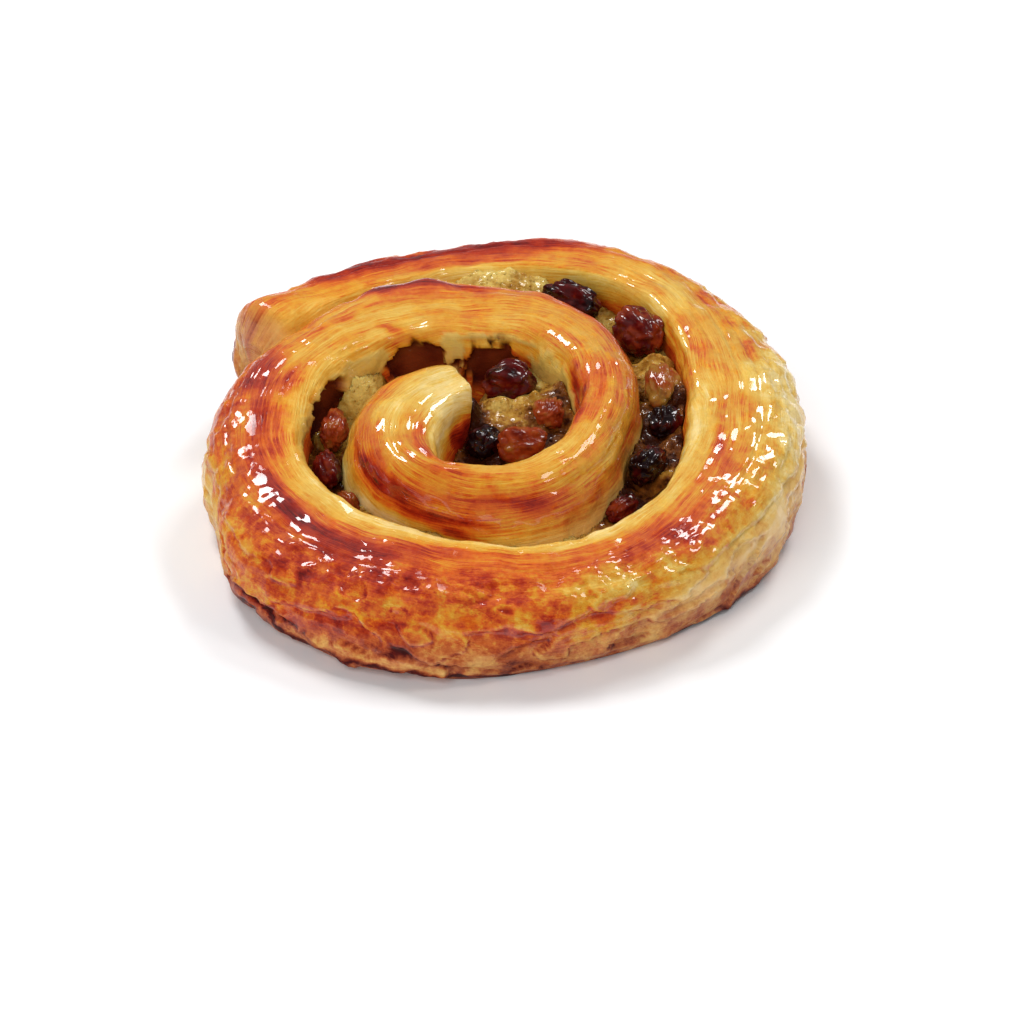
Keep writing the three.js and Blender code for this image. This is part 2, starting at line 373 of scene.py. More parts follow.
@dataclass(frozen=True)
class Patch:
    """A soft-edged spot on the strip: where it is, how far it spreads and how strong it is."""

    turn: float
    around: float
    long: float
    wide: float
    strength: float

    def over(self, turn: np.ndarray, around: np.ndarray) -> np.ndarray:
        """Its strength at each place."""
        return self.strength * hump(turn, self.turn, self.long) * hump(around, self.around, self.wide)


def patches_over(patches: tuple[Patch, ...], turn: np.ndarray, around: np.ndarray) -> np.ndarray:
    """The sum of several patches."""
    return sum(patch.over(turn, around) for patch in patches)


@dataclass(frozen=True)
class Step:
    """A smooth change of tone across a band of the section."""

    start: float
    end: float
    change: float

    def over(self, around: np.ndarray) -> np.ndarray:
        """The change at each place round the section."""
        return self.change * smooth_step(self.start, self.end, around)


@dataclass(frozen=True)
class Depths:
    """How far each kind of relief on the strip stands out, in millimetres.

    The outer and left values are what the free outer side and the front left add.
    """

    lumps: float = 0.55
    outer_lumps: float = 0.25
    layers: float = 0.14
    crease: float = 0.45
    left_crease: float = 0.35
    blister: float = 0.12
    outer_blister: float = 0.14
    crinkle: float = 0.16
    outer_crinkle: float = 0.20
    foot_lip: float = 0.9
    slit: float = 2.4
    film: float = 0.35
    film_grain: float = 0.3
    cave: float = 2.4


@dataclass(frozen=True)
class Ledge:
    """A torn layer's edge: its two ends in turn and around, its height, the painted shade and burning of
    the line under it, and its lip.
    """

    start: tuple[float, float]
    end: tuple[float, float]
    lift: float
    burn_and_painted_shade: float
    lip: float = 3.0

    def over(self, skin: "DoughSkin", wander: np.ndarray) -> tuple[np.ndarray, np.ndarray]:
        """The ledge's rise and the dark line under it, which is painted shade with some burning.

        Args:
            skin: The strip's surface.
            wander: How far the edge strays at each place, in millimetres.

        Returns:
            The rise in millimetres and the darkening of the line under it, painted shade with some
            burning, as grids.
        """
        ends = []
        for turn, around in (self.start, self.end):
            row = int(np.argmin(np.abs(skin.turn[:, 0] - turn)))
            column = int(np.argmin(np.abs(skin.around[row] - around)))
            ends.append((skin.along[row, column], skin.arc[row, column]))
        (along, arc), (far_along, far_arc) = ends
        length = math.hypot(far_along - along, far_arc - arc)
        heading = ((far_along - along) / length, (far_arc - arc) / length)
        run = (skin.along - along) * heading[0] + (skin.arc - arc) * heading[1]
        below = (skin.arc - arc) * heading[0] - (skin.along - along) * heading[1] + wander
        reach = smooth_step(0, 2.5, run) * smooth_step(0, 2.5, length - run)
        upper = np.exp(-np.maximum(-below, 0) / self.lip) * (1 - smooth_step(-0.3, 0.4, below))
        line = hump(below, 0.7, 0.75) * reach
        return self.lift * (upper * reach - 0.6 * line), self.burn_and_painted_shade * line


@dataclass
class DoughSkin:
    """The strip's fine surface: places, outward directions and coordinates, as grids."""

    points: np.ndarray
    outward: np.ndarray
    turn: np.ndarray
    around: np.ndarray
    along: np.ndarray
    arc: np.ndarray
    height: np.ndarray

    def strip_noise(self, long: float, wide: float, seed: int, octaves: int = 1) -> np.ndarray:
        """Noise drawn out along the strip.

        Args:
            long: The length of a lump along the strip.
            wide: Its width round the section.
            seed: Which noise it is.
            octaves: How many times finer noise is added.

        Returns:
            The noise as a grid.
        """
        spots = np.stack([self.along / long, self.arc / wide, 0 * self.arc], axis=-1)
        return grain(spots.reshape(-1, 3), 1.0, seed, octaves).reshape(self.arc.shape)

    def lump_noise(self, size: float, seed: int, octaves: int) -> np.ndarray:
        """Noise that is alike each way, as a grid."""
        return grain(self.points.reshape(-1, 3), size, seed, octaves).reshape(self.arc.shape)


@dataclass
class Dough:
    """The coiled strip of laminated dough, with its layers, flakes, blisters and browning."""

    stations: int = 880
    round_count: int = 96
    base_count: int = 8
    wide_height: float = 9.5
    crest_across: tuple[float, float] = (0.38, 0.18)
    tip_crest_across: Swell = Swell(-0.24, 0.6, 0.05)
    inner_shoulder: float = 3.6
    outer_shoulder: tuple[float, float] = (2.3, 3.6)
    foot: float = 2.4
    foot_across: float = 0.24
    undercuts: tuple[Swell, ...] = (Swell(0.12, 1.58, 0.08), Swell(-0.23, 1.735, 0.05))
    flattened: float = 0.5
    tip_rounding: float = 3.0
    tip_undercut: float = 5.0
    tip_undercut_run: float = 14.0
    tail_rounding: float = 2.0
    end_narrowing: float = 0.86
    end_lowering: float = 0.35
    undercut_power: float = 1.3
    path_steps: int = 4000
    closer_stations: Swell = Swell(0.8, 1.75, 0.25)
    end_steps: tuple[float, ...] = (0.0, 0.04, 0.12, 0.24, 0.4, 0.55, 0.7, 0.85)
    browning: tuple[Patch, ...] = (
        Patch(0.62, 0.46, 0.055, 0.12, -0.30),
        # Painted shade: the tip's end wall is darkened where the shade under the tip falls.
        Patch(0.622, 0.25, 0.026, 0.090, 0.42),
        Patch(1.95, 0.74, 0.12, 0.14, -0.32),
        Patch(1.33, 0.22, 0.16, 0.08, -0.15),
        Patch(1.30, 0.375, 0.16, 0.035, 0.14),
        Patch(2.35, 0.32, 0.07, 0.10, 0.16),
        Patch(1.385, 0.56, 0.05, 0.06, -0.12),
        Patch(1.44, 0.50, 0.03, 0.06, -0.08),
        Patch(1.527, 0.435, 0.03, 0.045, 0.20),
        Patch(1.055, 0.402, 0.032, 0.016, 0.26),
        Patch(1.140, 0.60, 0.040, 0.050, 0.16),
        Patch(1.620, 0.50, 0.030, 0.050, 0.05),
        Patch(1.860, 0.52, 0.040, 0.040, 0.06),
        Patch(1.744, 0.386, 0.012, 0.010, 0.65),
        Patch(0.757, 0.740, 0.016, 0.018, 0.50),
        Patch(1.000, 0.428, 0.030, 0.018, 0.40),
        Patch(0.952, 0.467, 0.028, 0.018, 0.30),
        Patch(2.10, 0.62, 0.035, 0.050, 0.18),
        Patch(2.06, 0.575, 0.020, 0.030, 0.14),
        Patch(1.975, 0.475, 0.03, 0.03, 0.12),
        Patch(2.081, 0.370, 0.04, 0.015, 0.30),
        Patch(2.035, 0.41, 0.05, 0.030, -0.14),
        Patch(1.336, 0.61, 0.015, 0.030, 0.60),
        Patch(1.303, 0.60, 0.012, 0.025, 0.60),
        Patch(1.555, 0.85, 0.035, 0.060, -0.35),
        Patch(0.70, 0.27, 0.045, 0.09, -0.30),
        Patch(2.38, 0.47, 0.03, 0.07, -0.12),
        Patch(2.26, 0.395, 0.06, 0.025, -0.12),
        Patch(1.75, 0.68, 0.05, 0.06, -0.08),
        Patch(1.66, 0.68, 0.04, 0.06, 0.06),
        Patch(1.87, 0.78, 0.06, 0.06, -0.12),
        Patch(1.93, 0.66, 0.05, 0.04, 0.12),
        Patch(1.82, 0.72, 0.02, 0.03, 0.12),
        Patch(1.61, 0.90, 0.03, 0.05, 0.16),
        Patch(1.75, 0.90, 0.12, 0.06, -0.16),
        Patch(1.72, 0.66, 0.10, 0.09, 0.09),
        Patch(0.68, 0.46, 0.015, 0.040, 0.34),
        Patch(0.695, 0.645, 0.024, 0.026, 0.64),
        Patch(0.652, 0.67, 0.026, 0.050, -0.20),
        Patch(0.700, 0.735, 0.030, 0.025, -0.12),
        Patch(0.742, 0.70, 0.036, 0.022, 0.56),
        Patch(0.79, 0.61, 0.035, 0.030, 0.26),
        Patch(0.92, 0.60, 0.080, 0.045, -0.16),
        Patch(1.04, 0.37, 0.030, 0.040, 0.50),
        Patch(1.03, 0.48, 0.060, 0.060, 0.18),
        Patch(1.18, 0.48, 0.060, 0.040, -0.08),
        Patch(1.16, 0.42, 0.040, 0.020, 0.14),
        Patch(1.36, 0.42, 0.010, 0.018, 0.34),
        Patch(1.28, 0.58, 0.030, 0.025, 0.26),
        Patch(1.34, 0.46, 0.070, 0.040, -0.08),
        Patch(1.46, 0.56, 0.030, 0.050, 0.28),
        Patch(1.50, 0.49, 0.030, 0.035, 0.34),
        Patch(1.58, 0.51, 0.045, 0.040, 0.40),
        Patch(1.66, 0.53, 0.035, 0.055, 0.48),
        Patch(1.72, 0.48, 0.040, 0.025, 0.18),
        Patch(1.62, 0.40, 0.080, 0.030, -0.06),
        Patch(1.90, 0.57, 0.030, 0.060, 0.18),
        Patch(1.83, 0.67, 0.030, 0.060, -0.24),
        Patch(1.98, 0.47, 0.060, 0.020, 0.18),
        Patch(2.08, 0.42, 0.050, 0.022, 0.34),
        Patch(2.04, 0.64, 0.100, 0.130, -0.34),
        Patch(2.15, 0.48, 0.040, 0.050, -0.16),
        Patch(2.25, 0.54, 0.060, 0.055, 0.50),
        Patch(2.25, 0.46, 0.050, 0.040, 0.18),
        Patch(2.33, 0.54, 0.040, 0.060, 0.32),
        Patch(1.62, 0.72, 0.080, 0.120, -0.06),
        Patch(2.12, 0.40, 0.040, 0.040, -0.14),
        Patch(2.36, 0.34, 0.060, 0.070, -0.12),
        Patch(2.41, 0.80, 0.012, 0.055, 0.60),
        Patch(2.395, 0.50, 0.012, 0.040, 0.12),
        Patch(2.408, 0.58, 0.010, 0.140, -0.25),
        Patch(1.56, 0.88, 0.040, 0.050, 0.30),
    )

    # The hollows in the inner wall: recessed, and darkened with painted shade.
    caves: tuple[Patch, ...] = (
        Patch(1.350, 0.305, 0.040, 0.085, 1.0),
        Patch(1.238, 0.295, 0.054, 0.085, 1.0),
        Patch(1.465, 0.290, 0.042, 0.095, 1.0),
    )
    pushes: tuple[Patch, ...] = (
        Patch(2.395, 0.52, 0.022, 0.120, 2.6),
        Patch(2.410, 0.76, 0.015, 0.050, 2.0),
        Patch(2.385, 0.34, 0.030, 0.080, 1.6),
        Patch(1.545, 0.78, 0.035, 0.170, -2.8),
        Patch(1.700, 0.88, 0.050, 0.060, 0.8),
        Patch(2.290, 0.56, 0.030, 0.060, -0.9),
        Patch(1.330, 0.62, 0.070, 0.080, 2.0),
        Patch(2.340, 0.34, 0.050, 0.070, 1.0),
        Patch(1.610, 0.89, 0.022, 0.045, 0.6),
        Patch(1.336, 0.61, 0.014, 0.030, 0.8),
        Patch(1.303, 0.60, 0.012, 0.025, 0.8),
        Patch(1.715, 0.90, 0.060, 0.070, 1.7),
        Patch(2.120, 0.58, 0.030, 0.070, -1.2),
    )
    film: tuple[Patch, ...] = (
        Patch(1.10, 0.33, 0.09, 0.050, 1.0),
        Patch(1.24, 0.378, 0.07, 0.010, 0.8),
        Patch(1.305, 0.32, 0.018, 0.055, 1.3),
        Patch(1.415, 0.35, 0.04, 0.040, 1.1),
        Patch(1.50, 0.345, 0.05, 0.030, 0.8),
    )
    depths: Depths = Depths()
    slit_turn: float = 1.600
    foot_line: float = 0.965
    foot_swells: tuple[Swell, ...] = (
        Swell(-0.05, 1.92, 0.05), Swell(-0.085, 1.67, 0.045), Swell(0.015, 1.82, 0.05),
    )
    low_side: tuple[float, float] = (0.60, 0.74)
    foot_tone: float = 0.62
    wall_tones: tuple[Step, ...] = (
        Step(0.31, 0.37, -0.40), Step(0.37, 0.45, 0.16), Step(0.48, 0.60, 0.10),
    )
    pressed_tone: Step = Step(0.66, 0.76, -0.34)
    free_tones: tuple[Step, ...] = (Step(0.45, 0.55, 0.05), Step(0.72, 0.86, 0.05))
    brownest_flake: float = 0.80
    ledges: tuple[Ledge, ...] = (
        Ledge((1.695, 0.822), (1.746, 0.930), 1.1, 0.40),
        Ledge((1.780, 0.765), (1.845, 0.700), 0.9, 0.12),
        Ledge((1.575, 0.790), (1.655, 0.850), 1.3, 0.45),
        Ledge((1.752, 0.880), (1.790, 0.810), 0.7, 0.12),
        Ledge((1.640, 0.760), (1.680, 0.785), 0.5, 0.10),
        Ledge((1.850, 0.800), (1.900, 0.765), 0.7, 0.10),
        Ledge((1.730, 0.700), (1.755, 0.675), 0.4, 0.10),
        Ledge((1.960, 0.700), (2.030, 0.740), 0.6, 0.10),
        Ledge((2.080, 0.780), (2.160, 0.730), 0.6, 0.15),
        Ledge((2.230, 0.740), (2.300, 0.800), 0.6, 0.15),
    )
    dull: tuple[Patch, ...] = (
        Patch(1.750, 0.56, 0.055, 0.130, 1.6),
        Patch(1.535, 0.45, 0.045, 0.070, 1.3),
        Patch(0.880, 0.50, 0.120, 0.100, 0.55),
        Patch(1.300, 0.46, 0.120, 0.060, 0.40),
        Patch(2.270, 0.54, 0.100, 0.060, 1.3),
        Patch(1.470, 0.40, 0.060, 0.060, 1.3),
        Patch(1.560, 0.74, 0.070, 0.080, 0.9),
        Patch(2.365, 0.44, 0.050, 0.060, 1.3),
        Patch(2.390, 0.34, 0.030, 0.080, 1.0),
    )

    # -------------------------------------------------------------- shape

    def station_turns(self) -> tuple[np.ndarray, np.ndarray, np.ndarray]:
        """Where the strip is crossed: close together in its rounded ends.

        Returns:
            The turns, the distances from the tip and the distances to the tail.
        """
        fine = np.linspace(COIL.tip_turn, COIL.tail_turn, self.path_steps)
        inner, outer = COIL.crossing(fine)
        middle = 0.5 * (inner + outer)
        run = np.concatenate([[0.0], np.cumsum(np.linalg.norm(np.diff(middle, axis=0), axis=1))])
        length = run[-1]
        steps = np.array(self.end_steps)
        even = np.linspace(self.tip_rounding, length - self.tail_rounding, self.path_steps)
        shown = 0.8 + self.closer_stations.over(np.interp(even, run, fine))
        body = np.interp(np.linspace(0, 1, self.stations), np.cumsum(shown) / shown.sum(), even)
        body[0] = self.tip_rounding
        tail = np.sort(length - steps * self.tail_rounding)
        along = np.concatenate([steps * self.tip_rounding, body, tail])
        return np.interp(along, run, fine), along, length - along

    def outline(self, turn: float, outer_turn: float) -> np.ndarray:
        """The section's outline at one station.

        Args:
            turn: The inner side's turn number.
            outer_turn: The outer side's turn number.

        Returns:
            Rows of share across the strip and share of the height over or under the widest
            level, from the inner foot over the crest to the outer foot.
        """
        rise = 0.5 + 0.5 * math.sin(FULL_TURN * outer_turn)
        outer_power = mix(*self.outer_shoulder, rise)
        crest_across = mix(*self.crest_across, COIL.outerness(np.array(turn)))
        crest_across = crest_across + self.tip_crest_across.over(turn)
        outer_foot = self.foot_across + sum(swell.over(turn) for swell in self.undercuts)
        quarter = np.linspace(0, math.pi / 2, 40)

        def quadrant(power: float) -> tuple[np.ndarray, np.ndarray]:
            """A superellipse's quarter, from its flank to its top."""
            return np.cos(quarter) ** (2 / power), np.sin(quarter).clip(0) ** (2 / power)

        foot_c, foot_s = quadrant(self.foot)
        inner_c, inner_s = quadrant(self.inner_shoulder)
        outer_c, outer_s = quadrant(outer_power)
        across = np.concatenate([
            (self.foot_across * (1 - foot_c))[::-1],
            (crest_across * (1 - inner_c))[1:],
            (crest_across + (1 - crest_across) * outer_c)[::-1][1:],
            (1 - outer_foot * (1 - foot_c))[1:],
        ])
        share = np.concatenate([-foot_s[::-1], inner_s[1:], outer_s[::-1][1:], -foot_s[1:]])
        return np.stack([across, share], axis=-1)

    def taper(self, along: np.ndarray, to_tail: np.ndarray) -> np.ndarray:
        """How far the section is drawn in at the strip's two rounded ends.

        Args:
            along: The distances from the tip.
            to_tail: The distances to the tail.

        Returns:
            The share of its full width that the section keeps.
        """
        tip = 1 - np.minimum(along / self.tip_rounding, 1)
        tail = 1 - np.minimum(to_tail / self.tail_rounding, 1)
        reach = np.maximum(tip, tail)
        return np.sqrt(np.maximum(1 - self.end_narrowing * reach**2, 0))

    def smooth_skin(self) -> DoughSkin:
        """Crosses the strip at every station and spaces the points evenly round it.

        Returns:
            The surface, without its relief.
        """
        turns, along, to_tail = self.station_turns()
        taper = self.taper(along, to_tail)
        inner, outer = COIL.crossing(turns)
        outer_turns = COIL.outer_turn(turns)
        crest = COIL.crest(turns) * mix(1, taper, self.end_lowering)
        loops, shares, arcs = [], [], []
        for i, turn in enumerate(turns):
            outline = self.outline(turn, outer_turns[i])
            reach = (outline[:, 0] - 0.5) * taper[i]
            flat = 0.5 * (inner[i] + outer[i]) + reach[:, None] * (outer[i] - inner[i])
            rise, drop = crest[i] - self.wide_height, self.wide_height + self.flattened
            span = np.where(outline[:, 1] > 0, rise, drop)
            height = np.maximum(self.wide_height + outline[:, 1] * span, 0)
            loop = np.column_stack([flat, height])
            run = np.concatenate([[0.0], np.cumsum(np.linalg.norm(np.diff(loop, axis=0), axis=1))])
            share = self.spacing()
            even = np.stack([np.interp(share * run[-1], run, loop[:, k]) for k in range(3)], axis=-1)
            base = np.linspace(0, 1, self.base_count + 2)[1:-1, None]
            loops.append(np.concatenate([even, even[-1] + (even[0] - even[-1]) * base]))
            shares.append(np.concatenate([share, 1 + base[:, 0] * 0.001]))
            crest_run = run[int(np.argmax(loop[:, 2]))]
            arcs.append(np.concatenate([share * run[-1], np.full(self.base_count, run[-1])]) - crest_run)
        points = np.array(loops)
        heading = np.gradient(0.5 * (inner + outer), along, axis=0)
        below = (1 - points[..., 2] / crest[:, None]).clip(0, 1) ** self.undercut_power
        drawn_in = self.tip_undercut * below * (1 - along[:, None] / self.tip_undercut_run).clip(0, 1)
        points[..., :2] += drawn_in[..., None] * heading[:, None, :]
        step = np.gradient(points, axis=0)
        turn_step = np.roll(points, -1, axis=1) - np.roll(points, 1, axis=1)
        outward = np.cross(turn_step, step)
        outward /= np.linalg.norm(outward, axis=-1, keepdims=True) + 1e-9
        grid = np.ones(points.shape[:2])
        return DoughSkin(
            points=points,
            outward=outward,
            turn=turns[:, None] * grid,
            around=np.array(shares),
            along=along[:, None] * grid,
            arc=np.array(arcs),
            height=points[..., 2],
        )

    def spacing(self) -> np.ndarray:
        """The shares round the section where its points lie: close together where it shows most.

        Returns:
            The shares, from the inner foot to the outer foot.
        """
        fine = np.linspace(0, 1, 400)
        density = 0.55 + smooth_step(0.24, 0.34, fine) - 0.45 * smooth_step(0.8, 0.95, fine)
        run = np.concatenate([[0.0], np.cumsum(0.5 * (density[1:] + density[:-1]))])
        return np.interp(np.linspace(0, run[-1], self.round_count), run, fine)

    # -------------------------------------------------------------- relief and masks

    def outside(self, skin: DoughSkin) -> np.ndarray:
        """1 on the free outer side of the coil, 0 on the raised inner turn and on the top."""
        return smooth_step(0.5, 0.64, skin.around) * smooth_step(1.42, 1.5, skin.turn)

    def cave_and_painted_shade_mask(self, skin: DoughSkin) -> np.ndarray:
        """1 in the ragged hollows of the inner wall, where the layers have come apart; the material paints
        shade there.
        """
        ragged = skin.strip_noise(3.5, 2.2, Seed.CAVES, 3)
        return smooth_step(0.50, 0.58, patches_over(self.caves, skin.turn, skin.around) + 0.22 * ragged)

    def film_mask(self, skin: DoughSkin) -> np.ndarray:
        """1 where a ragged film of custard clings to the inner wall.

        Args:
            skin: The strip's surface.

        Returns:
            The mask as a grid.
        """
        ragged = skin.strip_noise(3.0, 2.0, Seed.FILM, 3)
        film = smooth_step(0.42, 0.56, patches_over(self.film, skin.turn, skin.around) + 0.30 * ragged)
        return film * (1 - self.cave_and_painted_shade_mask(skin))

    def flake_step(self, skin: DoughSkin) -> np.ndarray:
        """How far across its flake each place lies: 0 where the flake comes out, 1 at its torn edge."""
        sheet = 1.7 * skin.strip_noise(21, 9, Seed.FLAKES, 3) + 0.07 * skin.arc
        return sheet - np.floor(sheet)

    def foot_burn(self, skin: DoughSkin) -> np.ndarray:
        """1 along the burnt edge under the free outer side, higher up at the front left.

        Args:
            skin: The strip's surface.

        Returns:
            The mask as a grid.
        """
        ragged = 0.018 * skin.strip_noise(5, 3, Seed.FOOT, 3)
        line = self.foot_line - 0.170 * hump(skin.turn, self.slit_turn, 0.032)
        line = line + sum(swell.over(skin.turn) for swell in self.foot_swells) + ragged
        under = skin.around - line
        band = smooth_step(0.0, 0.010, under) * (1 - 0.75 * smooth_step(0.020, 0.034, under))
        return band * smooth_step(1.560, 1.585, skin.turn) * self.outside(skin)

    def torn_edges(self, skin: DoughSkin) -> tuple[np.ndarray, np.ndarray]:
        """The rise and the painted shade and burning of all the ledges.

        Args:
            skin: The strip's surface.

        Returns:
            The rise in millimetres and the painted shade and burning, as grids.
        """
        wander = 1.3 * skin.strip_noise(6, 6, Seed.TORN_EDGES, 3)
        found = [ledge.over(skin, wander) for ledge in self.ledges]
        return sum(rise for rise, _ in found), np.max([line for _, line in found], axis=0)

    def relief(self, skin: DoughSkin) -> np.ndarray:
        """How far each place stands out of the smooth strip, in millimetres.

        Args:
            skin: The strip's surface.

        Returns:
            The rise as a grid.
        """
        depths = self.depths
        outside = self.outside(skin)
        top = hump(skin.around, 0.5, 0.17)
        soft = skin.lump_noise(8.0, Seed.LUMPS, 2)
        rise = (depths.lumps + depths.outer_lumps * outside) * soft
        wander = skin.strip_noise(40, 14, Seed.LAYER_WANDER)
        layers = skin.strip_noise(22, 2.0, Seed.LAYERS, 2)
        rise += depths.layers * top * layers
        lines = (skin.arc + 2.2 * wander) / 3.3
        crease = hump(lines - np.round(lines), 0.0, 0.1)
        crease *= smooth_step(-0.1, 0.35, skin.strip_noise(26, 3.3, Seed.CREASES))
        rise -= (depths.crease + depths.left_crease * hump(skin.turn, 1.58, 0.10)) * top * crease
        step = self.flake_step(skin)
        low = smooth_step(*self.low_side, skin.around)
        rise += outside * (0.25 + 0.75 * low) * (step - smooth_step(0.88, 1.0, step) * step)
        blister = skin.lump_noise(3.2, Seed.BLISTERS, 2)
        crinkle = np.abs(skin.strip_noise(3.4, 1.9, Seed.CRINKLES, 2))
        rough = outside * (1 - 0.75 * low)
        rise += (depths.blister + depths.outer_blister * rough) * blister
        rise -= (depths.crinkle + depths.outer_crinkle * rough) * crinkle
        slit = hump(skin.turn, self.slit_turn, 0.028)
        uneven = 0.5 + skin.strip_noise(4, 3, Seed.FOOT_RELIEF, 2)
        rise += (depths.foot_lip - depths.slit * slit) * self.foot_burn(skin) * uneven
        rise += self.film_mask(skin) * (depths.film + depths.film_grain * blister)
        rise += patches_over(self.pushes, skin.turn, skin.around) + self.torn_edges(skin)[0]
        rise -= depths.cave * self.cave_and_painted_shade_mask(skin)
        ends = smooth_step(0, 3, skin.along)
        return rise * smooth_step(0.0, 2.5, skin.height) * (0.35 + 0.65 * ends)

    def bake_and_painted_shade(self, skin: DoughSkin) -> np.ndarray:
        """How brown each place is: 0 is pale cream, 1 is burnt. Besides browning it holds painted shade
        and highlight: on the tip's end wall, at the flakes' edges and under the ledges.

        Args:
            skin: The strip's surface.

        Returns:
            The browning as a grid.
        """
        around, turn = skin.around, skin.turn
        outerness = COIL.outerness(turn)
        shift = skin.strip_noise(11, 5, Seed.BAKING, 3)
        inside = self.foot_tone + sum(step.over(around) for step in self.wall_tones)
        pressed = inside + self.pressed_tone.over(around)
        rim = smooth_step(1.52, 1.64, turn) * (1 - smooth_step(1.96, 2.04, turn))
        line = smooth_step(0.440, 0.456, around + 0.006 * shift)
        free = inside + rim * (0.15 * line - 0.10) + sum(step.over(around) for step in self.free_tones)
        brown = mix(pressed, free, outerness)
        brown = brown + patches_over(self.browning, turn + 0.014 * shift, around + 0.022 * shift)
        streaks = skin.strip_noise(26, 1.8, Seed.STREAKS, 2)
        cloud = skin.lump_noise(6.0, Seed.CLOUDS, 3)
        outside = self.outside(skin)
        low = smooth_step(*self.low_side, around) * outside
        step = self.flake_step(skin)
        # Painted highlight and shade on the flakes: paler just before each raised edge, darker on the drop
        # below it.
        pale = 0.12 * smooth_step(0.70, 0.86, step) * (step < 0.9)
        torn = 0.16 * smooth_step(0.90, 0.96, step) - pale
        brown = np.minimum(brown + low * torn, self.brownest_flake)
        slit = hump(turn, self.slit_turn, 0.030)
        # The ledges' dark lines add painted shade under them, with some burning.
        brown = brown + (0.45 - 0.18 * slit) * self.foot_burn(skin) + self.torn_edges(skin)[1]
        return brown + mix(0.12, 0.06, outside) * streaks + mix(0.10, 0.18, outside) * cloud

    def glaze(self, skin: DoughSkin) -> np.ndarray:
        """How wet and shiny each place is, 0 to 1.

        Args:
            skin: The strip's surface.

        Returns:
            The mask as a grid.
        """
        body = smooth_step(0.30, 0.42, skin.around) * (1 - 0.75 * smooth_step(0.76, 0.93, skin.around))
        body = body * (1 - self.foot_burn(skin))
        patchy = skin.strip_noise(7, 5, Seed.GLAZE, 2)
        dull = np.clip(patches_over(self.dull, skin.turn, skin.around), 0, 1)
        return np.clip(body * (0.85 + 0.5 * patchy) * (1 - dull), 0, 1)

    def dryness(self, skin: DoughSkin) -> np.ndarray:
        """1 where the dough is tan and unglazed: low outside, where pressed, and on the tail's cut face.

        Args:
            skin: The strip's surface.

        Returns:
            The mask as a grid.
        """
        start = 0.78 - 0.12 * smooth_step(1.80, 1.90, skin.turn)
        low = self.outside(skin) * smooth_step(0, 0.12, skin.around - start)
        cut = 1 - smooth_step(0.8, 2.2, skin.along.max() - skin.along)
        pressed = 0.9 * smooth_step(0.64, 0.76, skin.around) * (1 - COIL.outerness(skin.turn))
        return np.maximum.reduce([low, cut, pressed * smooth_step(0.78, 0.86, skin.turn)])

    # -------------------------------------------------------------- making

    def build(self, finish: Material) -> Object:
        """Makes the strip's mesh with its masks, in place of the plain solid.

        Args:
            finish: The dough's material.

        Returns:
            The strip.
        """
        skin = self.smooth_skin()
        points = skin.points + skin.outward * self.relief(skin)[..., None]
        points[..., 2] = np.maximum(points[..., 2], 0)
        rings, around = points.shape[:2]
        number = np.arange(rings * around).reshape(rings, around)
        following = np.roll(number, -1, axis=1)
        faces = np.stack([number[:-1], following[:-1], following[1:], number[1:]], axis=-1).reshape(-1, 4)
        corners = [tuple(face) for face in faces.tolist()]
        flat = points.reshape(-1, 3)
        tip, tail = len(flat), len(flat) + 1
        corners += [(tip, b, a) for a, b in zip(number[0], following[0])]
        corners += [(tail, a, b) for a, b in zip(number[-1], following[-1])]
        flat = np.concatenate([flat, points[[0]].mean(axis=1), points[[-1]].mean(axis=1)])
        piece = mesh_piece("dough_coil", flat, corners, finish)
        masks = {
            "bake_and_painted_shade": self.bake_and_painted_shade(skin),
            "glaze": self.glaze(skin),
            "outside": self.outside(skin),
            # cave marks where the material paints shade into the hollows.
            "cave": self.cave_and_painted_shade_mask(skin),
            "film": self.film_mask(skin),
            "dry": self.dryness(skin),
        }
        for name, grid in masks.items():
            values = grid.reshape(-1)
            add_mask(piece, name, np.concatenate([values, [grid[0].mean(), grid[-1].mean()]]))
        arc = skin.arc + 1.8 * skin.strip_noise(26, 12, Seed.STRANDS, 2)
        coil = np.stack([skin.along, arc, COIL.outerness(skin.turn)], axis=-1).reshape(-1, 3)
        add_mask(piece, "coil", np.concatenate([coil, coil[:1], coil[-1:]]))
        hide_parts("dough")
        return piece


# ------------------------------------------------------------------ the custard


@dataclass(frozen=True)
class Mound:
    """A rise or a hollow in the custard: its middle, height, spread each way and flatness on top."""

    at: tuple[float, float]
    rise: float
    spread: tuple[float, float]
    flatness: float = 2.0

    def over(self, x: np.ndarray, y: np.ndarray) -> np.ndarray:
        """Its height at each place."""
        away = ((x - self.at[0]) / self.spread[0]) ** 2 + ((y - self.at[1]) / self.spread[1]) ** 2
        return self.rise * np.exp(-(away ** (self.flatness / 2)))


